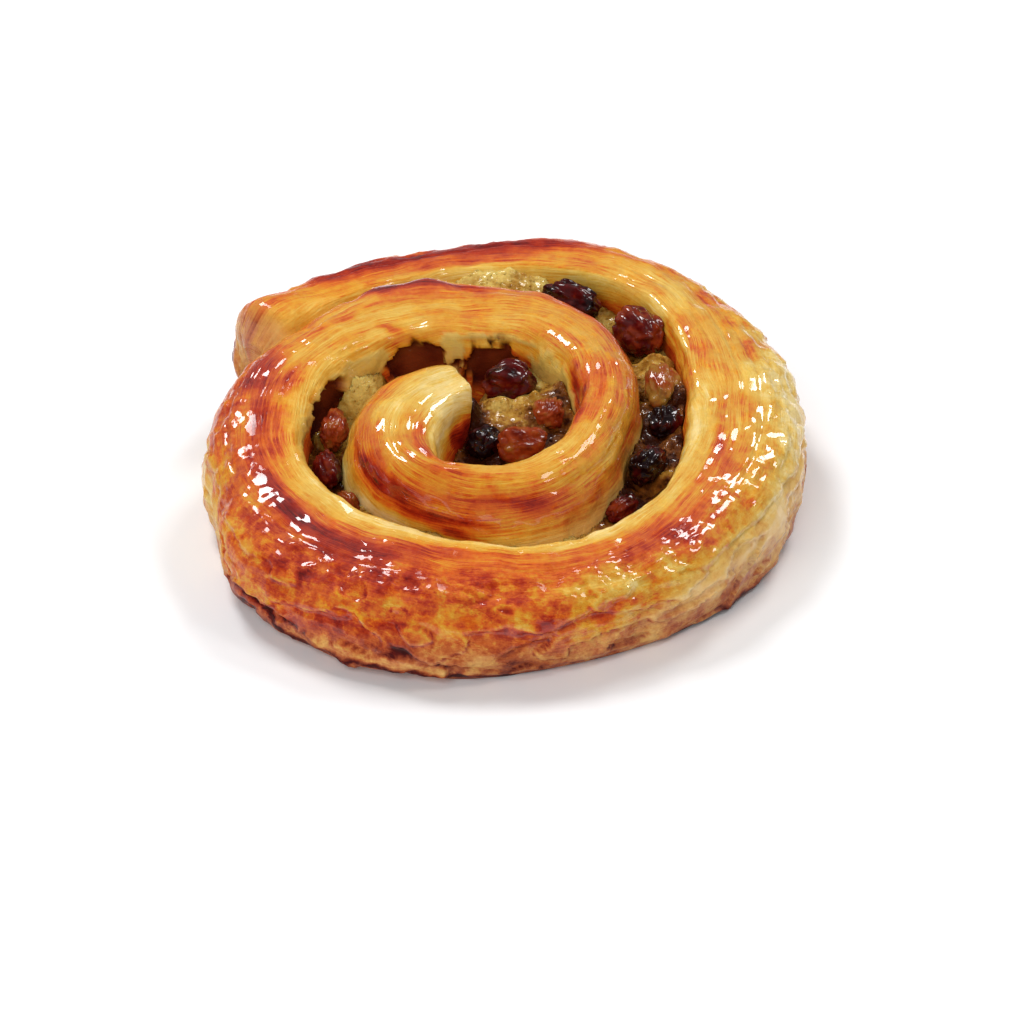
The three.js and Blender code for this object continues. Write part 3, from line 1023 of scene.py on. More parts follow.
@dataclass
class Custard:
    """The baked custard in the gap between the turns, as one closed lumpy body."""

    corner: tuple[float, float] = (-42.0, -44.0)
    far_corner: tuple[float, float] = (44.0, 52.0)
    pitch: float = 0.42
    floor: float = 0.5
    level: float = 12.5
    clings: float = 1.6
    clings_within: float = 2.2
    edge_within: float = 1.5
    lumps: float = 1.4
    pits: float = 0.5
    webs: float = 3.0
    inside: tuple[float, float] = (3.0, -4.0)
    reach: float = 5.0
    looked_from: float = 60.0
    no_dough: float = -5.0
    mounds: tuple[Mound, ...] = (
        Mound((2, -6), 5.0, (14, 14)),
        Mound((-1, 1), 4.0, (5, 6)),
        Mound((-6.4, -3), 4.5, (2.2, 4.5), 4.0),
        Mound((10, 3), 5.5, (5, 9)),
        Mound((4, 14), 5.0, (7, 5)),
        Mound((-2, 38.5), 10.0, (19, 15)),
        Mound((14, 30), 2.0, (6, 6)),
        Mound((30, 12), 3.0, (11, 14)),
        Mound((27.6, 17.5), 3.4, (2.6, 4.5)),
        Mound((32.4, 6.5), 3.0, (2.4, 4.0)),
        Mound((29, -8), 2.0, (8, 12)),
        Mound((-28, 10), 7.0, (8.5, 5.5), 4.0),
        Mound((-12.5, 16), 6.5, (2.6, 4.5), 4.0),
        Mound((-17, 12), -6.0, (4, 4)),
        Mound((-6, 12), -4.0, (4, 4)),
    )
    stirred: tuple[Mound, ...] = (
        Mound((29, 2), 0.6, (10, 16)),
        Mound((24, 24), 0.4, (10, 8)),
        Mound((6, 0), 0.6, (6, 8)),
        Mound((-6, -5), 0.9, (3, 6)),
    )
    # Where the custard is darkened: partly syrup that has run in, partly painted shade in the deep gaps
    # and next to the tip.
    syrup: tuple[Mound, ...] = (
        Mound((30, -2), 1.1, (14, 15)),
        Mound((22, -25), 1.1, (14, 9)),
        Mound((5, -10), 0.95, (10, 8)),
        Mound((-5, -15), 0.9, (7, 6)),
        Mound((-6, -5), 1.5, (3.0, 6.5)),
        Mound((-1, 7), -0.5, (5, 4)),
        Mound((11, 3), 0.6, (4, 7)),
        Mound((-31, -14), 0.9, (8, 14)),
        Mound((20, 30), 0.5, (10, 8)),
        Mound((-14, 12), 0.9, (8, 5)),
    )

    def heights(self, x: np.ndarray, y: np.ndarray) -> np.ndarray:
        """The custard's top at each place.

        Args:
            x: Places across.
            y: Places deep.

        Returns:
            The heights over the table.
        """
        height = self.level + sum(mound.over(x, y) for mound in self.mounds)
        spots = np.stack([x, y, 0 * x], axis=-1).reshape(-1, 3)
        lumps = grain(spots, 5.0, Seed.CUSTARD_LUMPS, 3) * self.lumps
        pits = np.abs(grain(spots, 2.4, Seed.CUSTARD_PITS, 2)) * self.pits
        webs = np.maximum(grain(spots, 3.2, Seed.CUSTARD_WEBS, 2), 0) * self.webs
        stirred = sum(mound.over(x, y) for mound in self.stirred)
        return height + (lumps - pits).reshape(x.shape) + stirred * webs.reshape(x.shape)

    def build(self, dough: Object, finish: Material) -> Object:
        """Fills the gap in the dough, a little way into its walls.

        Args:
            dough: The coiled strip.
            finish: The custard's material.

        Returns:
            The custard.
        """
        xs = np.arange(self.corner[0], self.far_corner[0], self.pitch)
        ys = np.arange(self.corner[1], self.far_corner[1], self.pitch)
        x, y = np.meshgrid(xs, ys, indexing="ij")
        height = self.heights(x, y)
        free = height > self.dough_tops(dough, x, y)
        near = self.distance_from(~free)
        height = height + self.clings * np.exp(-near / self.clings_within) * free
        keep = self.widened(self.pool(free), 2)
        number = -np.ones(keep.shape, dtype=int)
        cells = np.logical_and.reduce(self.cell_corners(keep))
        used = np.zeros(keep.shape, dtype=bool)
        for corner in self.cell_corners(used):
            corner |= cells
        number[used] = np.arange(used.sum())
        top = np.stack([x[used], y[used], height[used]], axis=-1)
        base = top.copy()
        base[:, 2] = self.floor
        upper = np.stack([corner[cells] for corner in self.cell_corners(number)], axis=-1)
        count = len(top)
        faces = np.concatenate([upper, upper[:, ::-1] + count, self.side_faces(upper, count)])
        points = np.concatenate([top, base])
        piece = mesh_piece("custard_filling", points, faces.tolist(), finish)
        near_wall = np.exp(-near[used] / self.edge_within)
        add_mask(piece, "edge", np.concatenate([near_wall, near_wall]))
        # The darkening mask: partly syrup, partly painted shade.
        syrup = sum(mound.over(x[used], y[used]) for mound in self.syrup)
        add_mask(piece, "syrup", np.concatenate([syrup, syrup]))
        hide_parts("custard")
        return piece

    def cell_corners(self, grid: np.ndarray) -> tuple[np.ndarray, ...]:
        """A grid's values at the four corners of every cell, in order round it."""
        return grid[:-1, :-1], grid[1:, :-1], grid[1:, 1:], grid[:-1, 1:]

    def dough_tops(self, dough: Object, x: np.ndarray, y: np.ndarray) -> np.ndarray:
        """How high the dough stands over each place, or a little under the table without it.

        Args:
            dough: The coiled strip.
            x: Places across.
            y: Places deep.

        Returns:
            The heights in millimetres.
        """
        tree = BVHTree.FromObject(dough, bpy.context.evaluated_depsgraph_get())
        flat = COIL.to_frame(np.stack([x, y, 0 * x + self.looked_from], axis=-1).reshape(-1, 3))
        tops = []
        for spot in flat.tolist():
            hit = tree.ray_cast(spot, (0, 0, -1))[0]
            tops.append(self.no_dough if hit is None else hit.z / MM)
        return np.array(tops).reshape(x.shape)

    def pool(self, free: np.ndarray) -> np.ndarray:
        """The part of the free places that is joined to the coil's middle, inside the dough.

        Args:
            free: Where the custard's top is clear of the dough.

        Returns:
            The places that it fills.
        """
        filled = np.zeros(free.shape, dtype=bool)
        cell = tuple(int((spot - low) / self.pitch) for spot, low in zip(self.inside, self.corner))
        filled[cell] = True
        while True:
            grown = self.widened(filled, 1) & free
            if grown.sum() == filled.sum():
                return filled
            filled = grown

    def widened(self, mask: np.ndarray, times: int) -> np.ndarray:
        """A mask grown by so many cells.

        Args:
            mask: The mask.
            times: How many cells it grows by.

        Returns:
            The grown mask.
        """
        for _ in range(times):
            grown = mask.copy()
            grown[1:] |= mask[:-1]
            grown[:-1] |= mask[1:]
            grown[:, 1:] |= mask[:, :-1]
            grown[:, :-1] |= mask[:, 1:]
            mask = grown
        return mask

    def distance_from(self, wall: np.ndarray) -> np.ndarray:
        """About how far each place is from the wall, up to the reach.

        Args:
            wall: Where the dough stands.

        Returns:
            The distances in millimetres.
        """
        distance = np.full(wall.shape, self.reach)
        grown = wall
        for count in range(int(self.reach / self.pitch)):
            distance[grown & (distance >= self.reach)] = count * self.pitch
            grown = self.widened(grown, 1)
        return distance

    def side_faces(self, upper: np.ndarray, count: int) -> np.ndarray:
        """The faces that join the top's open edges to the base.

        Args:
            upper: The top's faces, one row of corner numbers each.
            count: How many places the top has.

        Returns:
            The side faces, one row of corner numbers each.
        """
        edges = np.concatenate([upper[:, [k, (k + 1) % 4]] for k in range(4)])
        forward = {tuple(edge) for edge in edges.tolist()}
        rim = np.array([edge for edge in edges.tolist() if (edge[1], edge[0]) not in forward])
        return np.stack([rim[:, 1], rim[:, 0], rim[:, 0] + count, rim[:, 1] + count], axis=-1)


# ------------------------------------------------------------------ the raisins


@dataclass(frozen=True)
class Raisin:
    """One raisin: its middle, its length, width and height, its heading and its slope."""

    name: str
    at: tuple[float, float, float]
    size: tuple[float, float, float]
    heading: float
    slope: float
    ripeness: float = 0.0
    swell: float = 1.10
    fold_depth: float = 0.34
    dent_depth: float = 0.20
    blunting: float = 0.12

    def build(self, order: int, finish: Material) -> Object:
        """Makes the wrinkled skin in place of the plain solid.

        Args:
            order: Its number, which sets its wrinkles.
            finish: The raisins' material.

        Returns:
            The raisin.
        """
        ball = bmesh.new()
        bmesh.ops.create_icosphere(ball, subdivisions=5, radius=1.0)
        ball.verts.index_update()
        directions = np.array([vert.co[:] for vert in ball.verts])
        faces = [tuple(vert.index for vert in face.verts) for face in ball.faces]
        ball.free()
        points = self.place(directions, order)
        piece = mesh_piece(f"{self.name}_skin", points, faces, finish)
        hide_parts(self.name)
        add_mask(piece, "ripeness", np.full(len(directions), self.ripeness))
        return piece

    def place(self, directions: np.ndarray, order: int) -> np.ndarray:
        """The wrinkled surface in each direction from the raisin's middle.

        Args:
            directions: Unit directions, one row each.
            order: The raisin's number.

        Returns:
            Drawn places in millimetres, one row each.
        """
        folds = np.abs(grain(directions * np.array([0.6, 1.2, 1.2]), 0.62, Seed.RAISIN_FOLDS + order, 2))
        dents = grain(directions, 1.0, Seed.RAISIN_DENTS + order)
        scale = self.swell - self.fold_depth * (0.5 - folds).clip(0) + self.dent_depth * dents
        blunt = 1 - self.blunting * directions[:, 0] ** 2
        local = directions * scale[:, None] * np.array(self.size) / 2
        local[:, 0] *= blunt
        c, s = math.cos(FULL_TURN * self.heading), math.sin(FULL_TURN * self.heading)
        cy, sy = math.cos(self.slope), math.sin(self.slope)
        tilt = np.array([[cy, 0, sy], [0, 1, 0], [-sy, 0, cy]])
        turn = np.array([[c, -s, 0], [s, c, 0], [0, 0, 1]])
        return local @ (turn @ tilt).T + np.array(self.at)


RAISINS = (
    Raisin("raisin_back", (12.6, 36.6, 19.8), (12.5, 7.4, 7), -0.07, 0.1, 0.15),
    Raisin("raisin_back_right", (25, 26.4, 19), (11.5, 8.6, 7.8), -0.15, 0.2, 0.40),
    Raisin("raisin_coated", (29.4, 9.6, 17.4), (12.5, 6.4, 6.5), -0.24, 0.15, 0.80),
    Raisin("raisin_right", (29.4, -0.6, 15.6), (8, 6.4, 6.5), 0.24, -0.1, 0.05),
    Raisin("raisin_front_right", (26, -15, 15.8), (11, 6.2, 7), 0.2, 0.15, 0.0),
    Raisin("raisin_low_gap", (21.2, -26.6, 13.6), (8.5, 3.8, 5), 0.15, 0.1, 0.35),
    Raisin("raisin_core_back", (1.4, 6.4, 20), (10.5, 8.6, 8), -0.04, -0.1, 0.25),
    Raisin("raisin_core_left", (-3.2, -10, 17), (8.5, 6, 6.5), 0.18, 0.1, 0.0),
    Raisin("raisin_core_front", (3.4, -13, 18.8), (10, 7, 6.5), 0.05, 0.15, 0.55),
    Raisin("raisin_core_right", (8.6, -2.4, 18.8), (8, 5.6, 6), 0.25, 0.05, 0.62),
    Raisin("raisin_left", (-30.6, -3.4, 16.2), (10.5, 5.2, 6.5), 0.22, 0.2, 0.55),
    Raisin("raisin_left_low", (-31.5, -15.6, 15), (9.5, 5, 6.5), 0.28, -0.1, 0.25),
    Raisin("raisin_left_front", (-27.6, -24.4, 13.2), (7, 3.2, 5), 0.33, 0.1, 0.6),
)


# ------------------------------------------------------------------ shader building


class Graph:
    """A node tree under construction, with short ways to add and join nodes."""

    def __init__(self, tree: NodeTree) -> None:
        """Starts on an empty tree.

        Args:
            tree: The node tree, which is emptied.
        """
        self.tree = tree
        self.nodes = tree.nodes
        self.nodes.clear()

    def add(self, kind: str, **settings: object) -> Node:
        """Adds a node and sets its properties.

        Args:
            kind: The node's type.
            **settings: Its properties by name.

        Returns:
            The node.
        """
        node = self.nodes.new(kind)
        for name, value in settings.items():
            setattr(node, name, value)
        return node

    def join(self, source: NodeSocket, target: NodeSocket) -> None:
        """Links an output to an input."""
        self.tree.links.new(source, target)

    def feed(self, target: NodeSocket, value: object) -> None:
        """Links the value if it is a socket, and otherwise sets it.

        Args:
            target: The input.
            value: A socket, a number or a colour.
        """
        if isinstance(value, NodeSocket):
            self.join(value, target)
        else:
            target.default_value = value

    def math(self, operation: str, *terms: object, clamp: bool = False) -> NodeSocket:
        """Adds a sum of numbers or sockets.

        Args:
            operation: The kind of sum.
            *terms: Its numbers or sockets.
            clamp: Whether the result stays between 0 and 1.

        Returns:
            The result.
        """
        node = self.add("ShaderNodeMath", operation=operation, use_clamp=clamp)
        for target, term in zip(node.inputs, terms):
            self.feed(target, term)
        return node.outputs[0]

    def attribute(self, name: str, output: str = "Fac") -> NodeSocket:
        """Reads a mask that is stored on the mesh."""
        return self.add("ShaderNodeAttribute", attribute_name=name).outputs[output]

    def noise(self, vector: NodeSocket, scale: float, detail: float = 2.0,
              rough: float = 0.5) -> NodeSocket:
        """Adds noise from 0 to 1 and returns it.

        Args:
            vector: The coordinates.
            scale: Its lumps per unit.
            detail: How many finer layers it has.
            rough: How strong the finer layers are.

        Returns:
            The noise.
        """
        node = self.add("ShaderNodeTexNoise")
        self.join(vector, node.inputs["Vector"])
        node.inputs["Scale"].default_value = scale
        node.inputs["Detail"].default_value = detail
        node.inputs["Roughness"].default_value = rough
        return node.outputs["Fac"]

    def position(self) -> NodeSocket:
        """Where each place is, in metres."""
        return self.add("ShaderNodeNewGeometry").outputs["Position"]

    def vector(self, operation: str, first: NodeSocket, second: object) -> NodeSocket:
        """Adds a sum of two vectors.

        Args:
            operation: The kind of sum.
            first: A vector.
            second: A vector or a socket.

        Returns:
            The result.
        """
        node = self.add("ShaderNodeVectorMath", operation=operation)
        self.join(first, node.inputs[0])
        self.feed(node.inputs[1], second)
        return node.outputs[0]

    def times(self, vector: NodeSocket, factor: NodeSocket) -> NodeSocket:
        """Makes a vector so many times as long.

        Args:
            vector: The vector.
            factor: How many times.

        Returns:
            The result.
        """
        node = self.add("ShaderNodeVectorMath", operation="SCALE")
        self.join(vector, node.inputs[0])
        self.join(factor, node.inputs["Scale"])
        return node.outputs[0]

    def in_sizes(self, place: NodeSocket, size: NodeSocket) -> NodeSocket:
        """A place in metres, counted in sizes given in millimetres."""
        return self.times(place, self.math("DIVIDE", 1 / MM, size))

    def stretched(self, place: NodeSocket, long: NodeSocket, wide: NodeSocket,
                  seed: NodeSocket | None = None) -> NodeSocket:
        """Coordinates along the strip, counted in lengths and widths.

        Args:
            place: Coordinates along and across the strip.
            long: The length that counts as one.
            wide: The width that counts as one.
            seed: A third coordinate, if there is one.

        Returns:
            The coordinates.
        """
        split = self.add("ShaderNodeSeparateXYZ")
        self.join(place, split.inputs[0])
        node = self.add("ShaderNodeCombineXYZ")
        self.join(self.math("DIVIDE", split.outputs[0], long), node.inputs[0])
        self.join(self.math("DIVIDE", split.outputs[1], wide), node.inputs[1])
        if seed is not None:
            self.join(seed, node.inputs[2])
        return node.outputs[0]

    def cells(self, place: NodeSocket, **settings: object) -> Node:
        """Adds round cells one unit apart.

        Args:
            place: The coordinates.
            **settings: The node's properties by name.

        Returns:
            The node.
        """
        node = self.add("ShaderNodeTexVoronoi", **settings)
        node.inputs["Scale"].default_value = 1.0
        self.join(place, node.inputs["Vector"])
        return node

    def red(self, colour: NodeSocket) -> NodeSocket:
        """A colour's red as a number.

        Args:
            colour: The colour.

        Returns:
            Its red.
        """
        split = self.add("ShaderNodeSeparateColor")
        self.join(colour, split.inputs[0])
        return split.outputs[0]

    def ramp(self, value: NodeSocket, stops: tuple[tuple[float, Rgb], ...]) -> NodeSocket:
        """Turns a number into a colour by stops along a ramp.

        Args:
            value: The number.
            stops: Each stop as its place and its colour.

        Returns:
            The colour.
        """
        node = self.add("ShaderNodeValToRGB")
        elements = node.color_ramp.elements
        while len(elements) < len(stops):
            elements.new(0.5)
        for element, (place, colour) in zip(elements, stops):
            element.position = place
            element.color = (*colour, 1.0)
        self.join(value, node.inputs[0])
        return node.outputs[0]

    def spread(self, value: NodeSocket, low: float, high: float, out_low: float,
               out_high: float) -> NodeSocket:
        """A value eased from one range to another.

        Args:
            value: The number.
            low: The start of its range.
            high: The end of its range.
            out_low: What the start becomes.
            out_high: What the end becomes.

        Returns:
            The eased number.
        """
        node = self.add("ShaderNodeMapRange", interpolation_type="SMOOTHSTEP")
        self.join(value, node.inputs["Value"])
        limits = {"From Min": low, "From Max": high, "To Min": out_low, "To Max": out_high}
        for name, number in limits.items():
            node.inputs[name].default_value = number
        return node.outputs[0]

    def blend(self, share: object, a: object, b: object) -> NodeSocket:
        """Blends two colours and returns the result.

        Args:
            share: How much of the second colour shows.
            a: The first colour.
            b: The second colour.

        Returns:
            The blended colour.
        """
        node = self.add("ShaderNodeMix", data_type="RGBA")
        self.feed(node.inputs[0], share)
        self.feed(node.inputs[6], a)
        self.feed(node.inputs[7], b)
        return node.outputs[2]


def new_group(name: str, inputs: dict[str, float | None],
              outputs: tuple[str, ...]) -> tuple[Graph, dict, dict]:
    """Starts a shader node group.

    Args:
        name: The group's name.
        inputs: Each input's name and default, or None for a vector.
        outputs: The names of its numbers.

    Returns:
        The graph, the input sockets and the output sockets, each by name.
    """
    tree = bpy.data.node_groups.new(name, "ShaderNodeTree")
    graph = Graph(tree)
    for socket, default in inputs.items():
        kind = "NodeSocketVector" if default is None else "NodeSocketFloat"
        made = tree.interface.new_socket(name=socket, in_out="INPUT", socket_type=kind)
        if default is not None:
            made.default_value = default
    for socket in outputs:
        tree.interface.new_socket(name=socket, in_out="OUTPUT", socket_type="NodeSocketFloat")
    source = graph.add("NodeGroupInput")
    target = graph.add("NodeGroupOutput")
    return graph, {s: source.outputs[s] for s in inputs}, {s: target.inputs[s] for s in outputs}


def strand_group() -> NodeTree:
    """Fine strands drawn out along the first coordinate, as stretched dough layers show.

    Returns:
        The group.
    """
    graph, given, made = new_group(
        "stretched_strands", {"Place": None, "Long": 20.0, "Wide": 1.0, "Seed": 0.0}, ("Strands", "Hairs"))
    place = graph.stretched(given["Place"], given["Long"], given["Wide"], given["Seed"])
    graph.join(graph.noise(place, 1.0, 3.0, 0.6), made["Strands"])
    graph.join(graph.noise(place, 3.1, 2.0, 0.5), made["Hairs"])
    return graph.tree


def crinkle_group() -> NodeTree:
    """A crinkled, blistered skin: sharp little ridges between flat facets.

    Returns:
        The group.
    """
    graph, given, made = new_group("crinkled_skin", {"Place": None, "Size": 1.0, "Fine": 0.4}, ("Height",))
    place = graph.in_sizes(given["Place"], given["Size"])
    ridge = graph.math("ABSOLUTE", graph.math("SUBTRACT", graph.noise(place, 0.6, 2.0, 0.55), 0.5))
    small = graph.math("MULTIPLY", graph.noise(place, 2.6, 3.0, 0.6), given["Fine"])
    graph.join(graph.math("MULTIPLY_ADD", ridge, 2.2, small), made["Height"])
    return graph.tree


def bead_group() -> NodeTree:
    """Tiny beads of dried glaze, sparse and round.

    Returns:
        The group.
    """
    graph, given, made = new_group("glaze_beads", {"Place": None, "Size": 1.0, "Share": 0.3}, ("Height",))
    cells = graph.cells(graph.in_sizes(given["Place"], given["Size"]))
    chosen = graph.math("LESS_THAN", graph.red(cells.outputs["Color"]), given["Share"])
    dome = graph.spread(cells.outputs["Distance"], 0.05, 0.42, 1.0, 0.0)
    graph.join(graph.math("MULTIPLY", dome, chosen), made["Height"])
    return graph.tree


def plate_group() -> NodeTree:
    """Torn flakes of dough that overlap: each has its own tone, with an edge round it.

    Returns:
        The group.
    """
    graph, given, made = new_group(
        "torn_flakes", {"Place": None, "Long": 5.0, "Wide": 3.0, "Warp": 0.6}, ("Tone", "Edge"))
    place = graph.stretched(given["Place"], given["Long"], given["Wide"])
    wander = graph.add("ShaderNodeTexNoise")
    graph.join(place, wander.inputs["Vector"])
    for name, number in (("Scale", 1.1), ("Detail", 4.0), ("Roughness", 0.65)):
        wander.inputs[name].default_value = number
    centred = graph.vector("SUBTRACT", wander.outputs["Color"], (0.5, 0.5, 0.5))
    warped = graph.vector("ADD", place, graph.times(centred, graph.math("MULTIPLY", given["Warp"], 4.0)))
    cells = graph.cells(warped, voronoi_dimensions="2D")
    graph.join(graph.red(cells.outputs["Color"]), made["Tone"])
    borders = graph.cells(warped, voronoi_dimensions="2D", feature="DISTANCE_TO_EDGE")
    graph.join(graph.spread(borders.outputs["Distance"], 0.0, 0.09, 1.0, 0.0), made["Edge"])
    return graph.tree


@dataclass(frozen=True)
class Groups:
    """The shader node groups that the materials share."""

    strands: NodeTree
    crinkle: NodeTree
    plates: NodeTree
    beads: NodeTree


def new_material(name: str) -> tuple[Material, Graph]:
    """Starts a material and its graph.

    Args:
        name: The material's name.

    Returns:
        The material and its graph.
    """
    made = bpy.data.materials.new(name)
    made.use_nodes = True
    return made, Graph(made.node_tree)


def place_group(graph: Graph, tree: NodeTree, **values: object) -> Node:
    """Puts a node group in a material with its own values.

    Args:
        graph: The material's graph.
        tree: The group.
        **values: A number or a socket for each of its inputs by name.

    Returns:
        The group's node.
    """
    node = graph.add("ShaderNodeGroup", node_tree=tree)
    for name, value in values.items():
        graph.feed(node.inputs[name], value)
    return node


def principled(graph: Graph, **values: object) -> Node:
    """Adds the surface shader and the output.

    Args:
        graph: The material's graph.
        **values: A number, colour or socket for each input, with _ for a space in its name.

    Returns:
        The shader's node.
    """
    shader = graph.add("ShaderNodeBsdfPrincipled")
    for name, value in values.items():
        graph.feed(shader.inputs[name.replace("_", " ")], value)
    output = graph.add("ShaderNodeOutputMaterial")
    graph.join(shader.outputs[0], output.inputs[0])
    return shader


def bump(graph: Graph, height: NodeSocket, depth: float, strength: object = 1.0) -> NodeSocket:
    """Turns a height from 0 to 1 into a normal, with its depth in millimetres.

    Args:
        graph: The material's graph.
        height: The height.
        depth: How deep it is, in millimetres.
        strength: How strongly it shows, 0 to 1.

    Returns:
        The normal.
    """
    node = graph.add("ShaderNodeBump")
    node.inputs["Distance"].default_value = depth * MM
    graph.feed(node.inputs["Strength"], strength)
    graph.join(height, node.inputs["Height"])
    return node.outputs[0]


# ------------------------------------------------------------------ finishes


@dataclass(frozen=True)
class DoughFinish:
    """Egg-glazed laminated dough, from pale cream through gold and red-brown to burnt.

    Each scale is a noise's lumps per metre.
    """

    cream: Rgb = srgb(240, 212, 140)
    straw: Rgb = srgb(228, 186, 82)
    gold: Rgb = srgb(218, 150, 38)
    amber: Rgb = srgb(208, 94, 22)
    russet: Rgb = srgb(174, 48, 14)
    mahogany: Rgb = srgb(128, 15, 8)
    burnt: Rgb = srgb(62, 9, 6)
    custard_film: Rgb = srgb(206, 172, 84)
    dry_light: Rgb = srgb(238, 188, 120)
    dry_brown: Rgb = srgb(168, 98, 56)
    # Painted shade for the hollows in the inner wall, in a dark and a paler tone.
    hollow: Rgb = srgb(76, 14, 6)
    hollow_paler_painted_shade: Rgb = srgb(116, 46, 18)
    mottle_scale: float = 260.0
    fleck_scale: float = 850.0
    fray_scale: float = 1500.0
    hollow_painted_shade_scale: float = 130.0

    def material(self, groups: Groups) -> Material:
        """Builds the material.

        Args:
            groups: The shared shader node groups.

        Returns:
            The material.
        """
        made, graph = new_material("glazed_dough")
        place = graph.position()
        coil = graph.attribute("coil", "Vector")
        glaze = graph.attribute("glaze")
        outside = graph.attribute("outside")
        film = graph.attribute("film")
        strands = place_group(graph, groups.strands, Place=coil, Long=14.0, Wide=0.52, Seed=0.0)
        plates = place_group(graph, groups.plates, Place=coil, Long=5.5, Wide=3.2, Warp=0.45)
        chips = place_group(graph, groups.plates, Place=coil, Long=2.0, Wide=1.1, Warp=0.5)
        mottle = graph.noise(place, self.mottle_scale, 5.0, 0.62)
        brown = self.brown(graph, strands, plates, chips, mottle, outside)
        colour = graph.ramp(brown, (
            (0.0, self.cream), (0.16, self.straw), (0.36, self.gold), (0.53, self.amber),
            (0.68, self.russet), (0.84, self.mahogany), (1.0, self.burnt),
        ))
        dry = graph.ramp(brown, ((0.2, self.dry_light), (0.62, self.dry_brown), (0.9, self.burnt)))
        colour = graph.blend(graph.math("MULTIPLY", graph.attribute("dry"), 0.65), colour, dry)
        colour = graph.blend(graph.math("MULTIPLY", film, 0.8), colour, (*self.custard_film, 1.0))
        # Painted shade in the hollows, varied between its dark and paler tones by noise.
        depth = graph.noise(place, self.hollow_painted_shade_scale, 2.0)
        hollow = graph.ramp(depth, ((0.42, self.hollow), (0.62, self.hollow_paler_painted_shade)))
        colour = graph.blend(graph.attribute("cave"), colour, hollow)
        crinkle = place_group(graph, groups.crinkle, Place=place, Size=2.0, Fine=0.35)
        layered = graph.math("MULTIPLY_ADD", chips.outputs["Tone"], 0.35, plates.outputs["Tone"])
        layered = graph.math("MULTIPLY", layered, graph.math("MULTIPLY", outside, 0.7))
        ripple = graph.math("MULTIPLY_ADD", strands.outputs["Hairs"], 0.7, crinkle.outputs["Height"])
        ripple = graph.math("ADD", ripple, layered)
        broken = place_group(graph, groups.strands, Place=coil, Long=4.2, Wide=2.0, Seed=3.7)
        fray = graph.noise(place, self.fray_scale, 3.0, 0.6)
        frayed = graph.math("MULTIPLY_ADD", fray, 0.16, -0.08)
        broken = graph.spread(graph.math("ADD", broken.outputs["Strands"], frayed), 0.39, 0.45, 0.08, 1.0)
        wet = graph.math("MULTIPLY", graph.math("MAXIMUM", glaze, film), broken)
        principled(
            graph, Base_Color=colour, Roughness=0.48, IOR=1.45, Specular_IOR_Level=0.16,
            Coat_Weight=wet, Coat_Roughness=0.025, Coat_IOR=1.6,
            Subsurface_Weight=0.06, Subsurface_Radius=(1.0, 0.5, 0.25), Subsurface_Scale=0.0012,
            Normal=bump(graph, ripple, 0.22),
        )
        return made

    def brown(self, graph: Graph, strands: Node, plates: Node, chips: Node,
              mottle: NodeSocket, outside: NodeSocket) -> NodeSocket:
        """Adds strands, flakes and mottling to the baked mask, which also holds painted shade and
        highlight.

        Args:
            graph: The material's graph.
            strands: The stretched strands.
            plates: The broad flakes.
            chips: The small flakes.
            mottle: Fine noise.
            outside: The mask of the free outer side.

        Returns:
            How brown the surface is, 0 to 1.
        """
        on_top = graph.math("MULTIPLY_ADD", outside, -0.75, 1.0)
        on_top = graph.math("MULTIPLY", on_top, graph.spread(mottle, 0.40, 0.60, 0.2, 1.0))
        streak = graph.spread(strands.outputs["Strands"], 0.36, 0.64, -0.10, 0.10)
        hairs = graph.spread(strands.outputs["Hairs"], 0.34, 0.66, -0.06, 0.06)
        lines = graph.math("MULTIPLY", graph.math("ADD", streak, hairs), on_top)
        spots = graph.math("MULTIPLY_ADD", mottle, 0.62, -0.31)
        fleck = graph.noise(graph.position(), self.fleck_scale, 3.0, 0.65)
        fleck = graph.math("MULTIPLY_ADD", fleck, 0.44, -0.22)
        spots = graph.math("ADD", spots, fleck)
        spots = graph.math("MULTIPLY", spots, graph.math("MULTIPLY_ADD", outside, 0.65, 0.40))
        torn = graph.math("MULTIPLY_ADD", plates.outputs["Tone"], 0.09, -0.045)
        torn = graph.math("ADD", torn, graph.math("MULTIPLY_ADD", chips.outputs["Tone"], 0.07, -0.035))
        torn = graph.math("ADD", torn, graph.math("MULTIPLY", plates.outputs["Edge"], -0.08))
        torn = graph.math("MULTIPLY", torn, outside)
        brown = graph.math("ADD", graph.attribute("bake_and_painted_shade"), graph.math("ADD", lines, spots))
        return graph.math("ADD", brown, torn, clamp=True)


